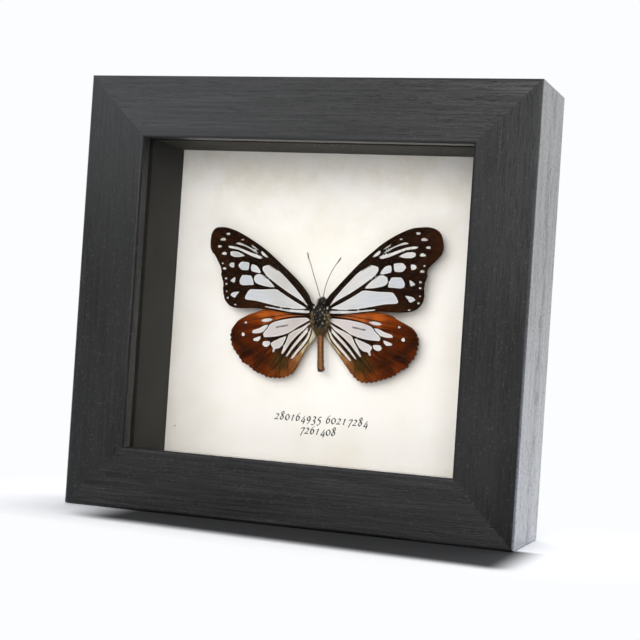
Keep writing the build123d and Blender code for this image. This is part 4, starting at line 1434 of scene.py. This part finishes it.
place = at(SPECIMEN_X, BODY.y, 62.3) @ Matrix.Rotation(math.radians(180 - LEAN), 4, "Y")
abdomen = turned("abdomen_ringed", ABDOMEN, 64, place, 1.0, ringed)
inner = place.inverted()
own = [inner @ Vector(point) for point in corners_of(abdomen.data)]
store(abdomen.data, "along", [point.z / ABDOMEN_LENGTH for point in own])
store(abdomen.data, "across", [-point.x for point in own])

# %% Abdomen's skin and bristles
skin = Recipe("brown_abdomen", Specular_IOR_Level=0.35, Roughness=0.6)
along, across = skin.stored("along"), skin.stored("across")
mottle = skin.noise((1400, 1400, 500), detail=3)
tone = skin.mix(mottle, (92, 54, 22), (136, 84, 38))
stripe = skin.times(skin.ramp(across, 0.0, 0.35), skin.ramp(across, 0.5, 0.85, 1, 0))
tone = skin.mix(skin.times(stripe, 0.5), tone, (160, 106, 54))
joint = skin.math("FRACT", skin.times(along, float(RINGS)))
for colour, factor, *span in (
    ((44, 26, 16), across, -0.9, -0.35, 0.75, 0), ((60, 36, 22), across, 0.75, 1.1, 0, 0.4),
    ((46, 30, 22), along, 0.9, 0.99), ((50, 30, 18), joint, 0.8, 0.98, 0, 0.55),
):
    tone = skin.wash(tone, colour, factor, *span)
skin.finish(Base_Color=tone, Normal=skin.bump(mottle, 0.00004, 0.5))
furred(abdomen, "abdomen_bristles", skin.material, "abdomen", slot="brown_abdomen",
       hair=brown_fur, Density=1.4e7, Length=0.00045, Thickness=0.000025, Lift=0.35,
       Comb=(0.0, 0.0, -0.9), Ruffle=0.25, Seed=17)

# %% [markdown]
# ## Riser pad
# Behind the thorax a small block of cork lifts the specimen off the card, so the wings throw a
# soft shadow. Cork is pale cells with dark gaps and a few brown specks.

# %% Cork
cork = Recipe("cream_cork", Roughness=0.85)
spread = cork.place(1)
grains = cork.add("TexVoronoi", {"Vector": spread, "Scale": 1500.0}, result="Distance")
tone = cork.wash((208, 178, 134), (176, 142, 98), grains, 0.1, 0.6)
tone = cork.wash(tone, (96, 62, 36), cork.noise(spread, 1100.0, 2), 0.62, 0.7)
dress("riser_pad", cork.finish(Base_Color=tone, Normal=cork.bump(grains, -0.0001, 0.6)))

# %% [markdown]
# ## Card
# A soft cotton board. Seen close it is a felt of fibres, so two noises stretched at right
# angles give it a fine tooth, and a slow one tints it unevenly. Warm blotchy marks tint it
# too, stronger towards the top, where they also stand in as painted shade under the top rail,
# and a single brown fleck lies near the lower left corner, as old boards have.

# %% Cotton board
FLECK = (-0.0516, 0.0145, 0.026)
board = Recipe("cream_card", Specular_IOR_Level=0.2, Roughness=0.92)
one_way = board.noise((2600, 900, 700), detail=3)
other_way = board.noise(board.place((700, 900, 2600), turn=(0, 35, 0)), detail=3)
felt = board.plus(board.times(one_way, 0.5), board.times(other_way, 0.5))
clouds = board.noise(38, detail=4, roughness=0.6)
tone = board.wash((251, 247, 241), (245, 239, 228), clouds, 0.35, 0.7)
tone = board.wash(tone, (226, 221, 210), felt, 0.56, 0.7, 0, 0.35)
point, split = board.axes()
stains_and_painted_shade = board.ramp(board.noise(60, detail=5, roughness=0.75), 0.42, 0.66)
# stronger towards the top: partly blotchy stain, partly painted shade under the top rail
stains_and_painted_shade = board.times(stains_and_painted_shade, board.ramp(split["Z"], 0.08, 0.122, 0.1, 0.6))
tone = board.mix(stains_and_painted_shade, tone, (236, 226, 206))
away = board.add("VectorMath", {0: point, 1: FLECK}, result="Value", operation="DISTANCE")
tone = board.wash(tone, (120, 92, 66), away, 0.0001, 0.0004, 0.7, 0)
dress("mount_card", board.finish(Base_Color=tone, Normal=board.bump(felt, 0.00005, 0.35)))

# %% [markdown]
# ## Label
# Two short lines lie under the specimen. A catalogue number in old-style figures stands there,
# written as with a broad nib: each figure is a few points along the pen's path, and the
# stroke is widest where the path crosses the nib's slant and a hairline where it follows it.

# %% Figures as pen paths
FIGURES = {
    "0": [(0.50, 0.88), (0.28, 1.0), (0.06, 0.72), (0.08, 0.25), (0.30, 0.0), (0.56, 0.2),
          (0.6, 0.65), (0.50, 0.88)],
    "1": [(0.16, 0.8), (0.38, 1.0), (0.33, 0.5), (0.28, 0.06), (0.42, 0.04)],
    "2": [(0.08, 0.8), (0.30, 1.0), (0.52, 0.82), (0.42, 0.5), (0.04, 0.03), (0.32, 0.06),
          (0.62, 0.04)],
    "3": [(0.08, 0.88), (0.32, 1.0), (0.5, 0.84), (0.38, 0.6), (0.24, 0.55), (0.48, 0.42),
          (0.5, 0.18), (0.28, 0.0), (0.02, 0.06)],
    "4": [(0.46, 1.0), (0.22, 0.62), (0.04, 0.34), (0.34, 0.32), (0.66, 0.36)],
    "5": [(0.6, 1.0), (0.26, 0.96), (0.16, 0.62), (0.4, 0.6), (0.52, 0.36), (0.40, 0.08),
          (0.18, 0.0), (0.02, 0.06)],
    "6": [(0.58, 0.98), (0.26, 0.78), (0.07, 0.36), (0.2, 0.03), (0.46, 0.08), (0.54, 0.38),
          (0.36, 0.56), (0.12, 0.42)],
    "7": [(0.06, 0.9), (0.3, 0.96), (0.62, 0.97), (0.4, 0.5), (0.22, 0.0)],
    "8": [(0.5, 0.84), (0.32, 1.0), (0.12, 0.82), (0.3, 0.56), (0.52, 0.28), (0.3, 0.0),
          (0.06, 0.2), (0.26, 0.5), (0.5, 0.74), (0.5, 0.86)],
    "9": [(0.52, 0.72), (0.34, 0.98), (0.1, 0.78), (0.16, 0.5), (0.42, 0.54), (0.56, 0.8),
          (0.46, 0.34), (0.2, 0.0)],
}
SECOND_STROKES = {"4": [(0.5, 0.7), (0.46, 0.35), (0.42, 0.0)]}
SMALL = 1.85
TALL = 2.75
FIGURE_WIDTH = 2.15
SLANT = 0.16
STEP_WIDTH = 1.87
LABEL_LINES = [("280164935 60217284", -15.3, 31.3), ("7261408", -6.2, 27.3)]
CARD_FACE = 14.5
NIB = np.array([math.cos(math.radians(38)), math.sin(math.radians(38))])
print("the label's lines have", [len(text) for text, _, _ in LABEL_LINES], "places")

# %% Writing
def figure_rows(figure):
    """Foot and height of an old-style figure: some stand on the line, some hang, some rise."""
    if figure in "012":
        return 0.0, SMALL
    if figure in "68":
        return 0.0, TALL
    return SMALL - TALL, TALL


def nib_stroke(bm, path):
    """A flat ribbon of ink along the path, its width set by the slanted nib."""
    run = np.gradient(path, axis=0)
    run /= np.linalg.norm(run, axis=1)[:, None]
    across = np.column_stack([-run[:, 1], run[:, 0]])
    width = 0.065 + 0.19 * np.abs(across @ NIB)
    steps = np.arange(len(path))
    taper = np.clip(np.minimum(steps, steps[::-1]) / 3 + 0.35, 0, 1)
    reach = across * (width * taper)[:, None]
    rows = []
    for level, sign in ((-0.03, -1), (-0.03, 1), (0.02, 1), (0.02, -1)):
        y = (CARD_FACE + level) * MM
        rows.append([bm.verts.new((x * MM, y, z * MM)) for x, z in path + sign * reach])
    for step in steps[:-1]:
        for first, second in zip(rows, rows[1:] + rows[:1]):
            bm.faces.new((first[step], second[step], second[step + 1], first[step + 1]))
    for step in (0, -1):
        bm.faces.new([row[step] for row in rows])


def write_label():
    bm = bmesh.new()
    for text, x, baseline in LABEL_LINES:
        for figure in text:
            foot, height = figure_rows(figure)
            for strokes in (FIGURES, SECOND_STROKES):
                if figure in strokes:
                    across, up = (rounded(strokes[figure], 0.05, False) * (1, height)).T
                    across = across * FIGURE_WIDTH + up * SLANT
                    nib_stroke(bm, np.column_stack([x + across, baseline + foot + up]))
            x += STEP_WIDTH * (0.72 if figure == " " else 1)
    mesh = bpy.data.meshes.new("label")
    finish_mesh(bm, mesh)
    print("the label has", len(mesh.polygons), "faces")
    return add_object("label_figures", mesh)


ink = Recipe("dry_ink", Specular_IOR_Level=0.2, Roughness=0.8)
ink.finish(Base_Color=ink.mix(ink.noise(2400, detail=3), (30, 29, 31), (92, 90, 92)))
label = write_label()
label.data.materials.append(ink.material)
belongs(label, "cream_card")

# %% [markdown]
# ## Spacer strips
# The inner walls are strips of fibreboard faced with dark paper. It is dull and a little browner
# than the rails. Each strip is darker towards the top, a painted shade under the top rail, and
# the strips take different tones as painted light and shade: the side strips darkest, the top
# strip lighter and the strip that faces up lightest. That strip also has sheen, like a thin film
# of dust, which looks pale when the eye looks along it: sheen gives that glow at a grazing view
# and nothing head on.

# %% Dark paper
def paper_strip(name, low, high, dust=0.0):
    settings = {"Sheen_Weight": dust, "Sheen_Roughness": 0.3, "Sheen_Tint": (250, 240, 230)}
    recipe = Recipe(name, Specular_IOR_Level=0.25, Roughness=0.75, **settings)
    fibres = recipe.noise((500, 1500, 1500), detail=3)
    tone = recipe.mix(fibres, low, high)
    tone = recipe.wash(tone, low, recipe.noise(60, detail=2), 0.4, 0.7, 0, 0.4)
    # painted shade: darker towards the top, under the top rail
    tone = recipe.wash(tone, (13, 13, 12), recipe.axes()[1]["Z"], 0.09, 0.126, 0.0, 0.6)
    return recipe.finish(Base_Color=tone, Normal=recipe.bump(fibres, 0.00005, 0.5))


# the strips' tones differ as painted light and shade: sides darkest, top lighter, the strip facing
# up lightest
side_paper = paper_strip("black_spacer_side", (38, 38, 35), (62, 61, 56))
dress("left_spacer", side_paper)
dress("right_spacer", side_paper)
dress("top_spacer", paper_strip("black_spacer_top", (50, 47, 42), (82, 78, 70)))
dress("bottom_spacer", paper_strip("black_spacer_dusty", (70, 66, 62), (98, 93, 88), 1.0))

# %% [markdown]
# ## Glass
# A plain pane. Its edge is ground, its faces are clean, and it hardly shows but for a faint
# veil, so its index is set low. The renderer doesn't follow the light that bends through glass
# on to a card, so the pane would cast a shadow. For shadow rays, and for light on its way from
# the card and the case, the shader therefore gives way to a clear one.

# %% Clear pane
glass = Recipe("clear_glass", IOR=1.07, Transmission_Weight=1.0)
smear = glass.noise((25, 25, 60), detail=3)
glass.finish(Roughness=glass.ramp(smear, 0.5, 0.8, 0.0, 0.012),
             Base_Color=glass.mix(smear, (255, 255, 255), (254, 254, 252)))
path = glass.add("LightPath").node.outputs
clear = glass.add("BsdfTransparent")
passed = glass.shader.outputs[0]
for ray in ("Is Diffuse Ray", "Is Shadow Ray"):
    passed = glass.add("MixShader", {0: path[ray], 1: passed, 2: clear})
glass.put(passed, glass.surface)
dress("glass_pane", glass.material)

# %% [markdown]
# ## Back panel
# Tempered hardboard: brown, smooth, with fine fibres and a few darker flecks.

# %% Hardboard
hardboard = Recipe("brown_hardboard", Specular_IOR_Level=0.4)
fibre = hardboard.place((420, 900, 1100), turn=(0, 20, 0))
fibre = hardboard.noise(fibre, detail=5, roughness=0.7)
tone = hardboard.wash((92, 60, 38), (134, 94, 62), fibre, 0.3, 0.7)
patches = hardboard.noise(28, detail=3)
tone = hardboard.wash(tone, (112, 76, 50), patches, 0.4, 0.7, 0, 0.35)
flecks = hardboard.noise((1500, 900, 420), detail=3)
tone = hardboard.wash(tone, (58, 36, 24), flecks, 0.64, 0.74, 0, 0.7)
hardboard.finish(Base_Color=tone, Roughness=hardboard.ramp(fibre, 0.2, 0.8, 0.42, 0.6),
                 Normal=hardboard.bump(fibre, 0.00005, 0.5))
dress("back_panel", hardboard.material)

# %% [markdown]
# ## Bright hardware
# Rolled steel under nickel for the turn buttons, zinc for the screws, and plain steel for the
# hanger and nails. Brushing shows as fine lines, handling as slow changes of gloss.

# %% Metals
def metal(name, low, high, gloss, stretch):
    recipe = Recipe(name, Metallic=1.0)
    lines = recipe.noise(stretch, detail=3)
    wear = recipe.noise(160, detail=4)
    brushed = recipe.ramp(lines, 0.3, 0.7, gloss, gloss + 0.12)
    rough = recipe.plus(brushed, recipe.ramp(wear, 0.5, 0.8, 0, 0.1))
    tone = recipe.wash(low, high, wear, 0.35, 0.7)
    return recipe.finish(Base_Color=tone, Roughness=rough, Normal=recipe.bump(lines, 0.00002, 0.4))


nickel = metal("plated_buttons", (186, 184, 178), (212, 210, 204), 0.22, (300, 6000, 6000))
zinc = metal("plated_screws", (196, 192, 180), (218, 216, 208), 0.2, 2500)
bare_steel = metal("bare_steel", (150, 150, 150), (188, 187, 184), 0.28, (300, 5000, 5000))
dress("corner_v_nails", bare_steel)

# %% [markdown]
# ## Softened sheet parts
# A pressed strip has no sharp edge. A copy of the CAD part is welded, its flat faces are joined
# and its edges are rounded a little, which is what catches the light.

# %% Softened copies
def softened(node_name, radius, material, slot, body="case"):
    """Stands a welded copy with rounded edges in for a CAD node."""
    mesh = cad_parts[node_name].data.copy()
    bm = bmesh.new()
    bm.from_mesh(mesh)
    bmesh.ops.remove_doubles(bm, verts=bm.verts, dist=1e-6)
    bmesh.ops.dissolve_limit(bm, angle_limit=math.radians(1), verts=bm.verts, edges=bm.edges)
    folds = [edge for edge in bm.edges if len(edge.link_faces) == 2]
    sharp = [edge for edge in folds if edge.calc_face_angle() > math.radians(40)]
    bmesh.ops.bevel(bm, geom=sharp, offset=radius * MM, segments=2, profile=0.5, affect="EDGES",
                    clamp_overlap=True)
    finish_mesh(bm, mesh)
    mesh.materials.clear()
    mesh.materials.append(material)
    mesh.name = f"{node_name}_pressed"
    print(mesh.name, "has", len(mesh.polygons), "faces")
    belongs(add_object(mesh.name, mesh), slot, node_name, body=body)


for level in ("lower", "upper"):
    for side in ("left", "right"):
        button = f"{level}_{side}_turn_button"
        softened(button, 0.22, nickel, "plated_buttons", body=button)
softened("sawtooth_hanger", 0.12, bare_steel, "bare_steel")

# %% [markdown]
# ## Screws and nails
# One screw is turned from a profile, its cross recess cut by a small cross-shaped dent in the
# rings near its middle, and the tree below sets a copy on each point of a list. The nails
# are the same tree with another profile. Each copy has its own turn about its axis.

# %% Fasteners
CROSS_WIDTH = 0.32
CROSS_REACH = 1.75


def fastener(name, stations, sides, recess=0.0):
    """A turned head and shank along Z, with an optional cross recess of that depth in mm."""
    thing = turned(name, stations, sides, Matrix.Identity(4))
    if recess:
        top = max(height for height, _ in stations)
        for vertex in thing.data.vertices:
            x, y, z = (value / MM for value in vertex.co)
            near, far = sorted((abs(x), abs(y)))
            if near < CROSS_WIDTH and far < CROSS_REACH and z > top - 0.75:
                vertex.co.z -= (0.35 + 1 - far / CROSS_REACH) * recess * MM
    return thing


def fastener_maker():
    """Sets a copy of the chosen object on every point, pointing out of the back."""
    sizes = {"Lean": -1.5708, "Seed": 3, "Finish": "Material", "Fastener": "Object"}
    maker = Maker("set_fasteners", sizes)
    given = maker.given
    piece = maker.add("ObjectInfo", {"Object": given["Fastener"]}, result=4)
    turns = {2: 0.0, 3: 6.283, "Seed": given["Seed"]}
    spin = maker.add("FunctionNodeRandomValue", turns, result=1, data_type="FLOAT")
    about, lean = (
        maker.add("FunctionNodeEulerToRotation", {0: maker.add("ShaderNodeCombineXYZ", angles)})
        for angles in ({"Z": spin}, {"X": given["Lean"]})
    )
    both = {0: about, 1: lean}
    turn = maker.add("FunctionNodeRotateRotation", both, rotation_space="GLOBAL")
    placed = {"Points": given["Geometry"], "Instance": piece, "Rotation": turn}
    return maker.end(maker.add("InstanceOnPoints", placed))


def set_fasteners(name, shape, places, material, seed, slot, node):
    mesh = bpy.data.meshes.new("places")
    mesh.from_pydata([tuple(value * MM for value in place) for place in places], [], [])
    points = add_object("places", mesh)
    made = grow(name, points, fasteners, Fastener=shape, Seed=seed, Finish=material)
    discard(points)
    discard(shape)
    belongs(made, slot, node)


fasteners = fastener_maker()
print("fastener sizes:", list(fasteners.keys))

# %% Screws and nails in place
SCREW = [
    (-11.0, 0.0), (-10.9, 0.25), (-8.5, 1.3), (0.0, 1.36), (0.02, 2.9), (0.2, 3.08), (0.55, 2.95),
    (0.95, 2.35), (1.18, 1.5), (1.26, 0.7), (1.28, 0.0),
]
NAIL = [
    (-8.9, 0.0), (-8.4, 0.5), (0.0, 0.66), (0.02, 1.8), (0.2, 1.88), (0.42, 1.4), (0.5, 0.7),
    (0.52, 0.0),
]
SCREW_PLACES = [(x, 19.4, z) for x in (-68, 68) for z in (35.5, 105.5)]
NAIL_PLACES = [(x, 18.8, 134.0) for x in (-18, 18)]
set_fasteners("turn_button_screws_domed", fastener("screw", SCREW, 48, 0.55), SCREW_PLACES,
              zinc, 4, "plated_screws", "turn_button_screws")
set_fasteners("hanger_nails_domed", fastener("nail", NAIL, 28), NAIL_PLACES,
              bare_steel, 6, "bare_steel", "hanger_nails")
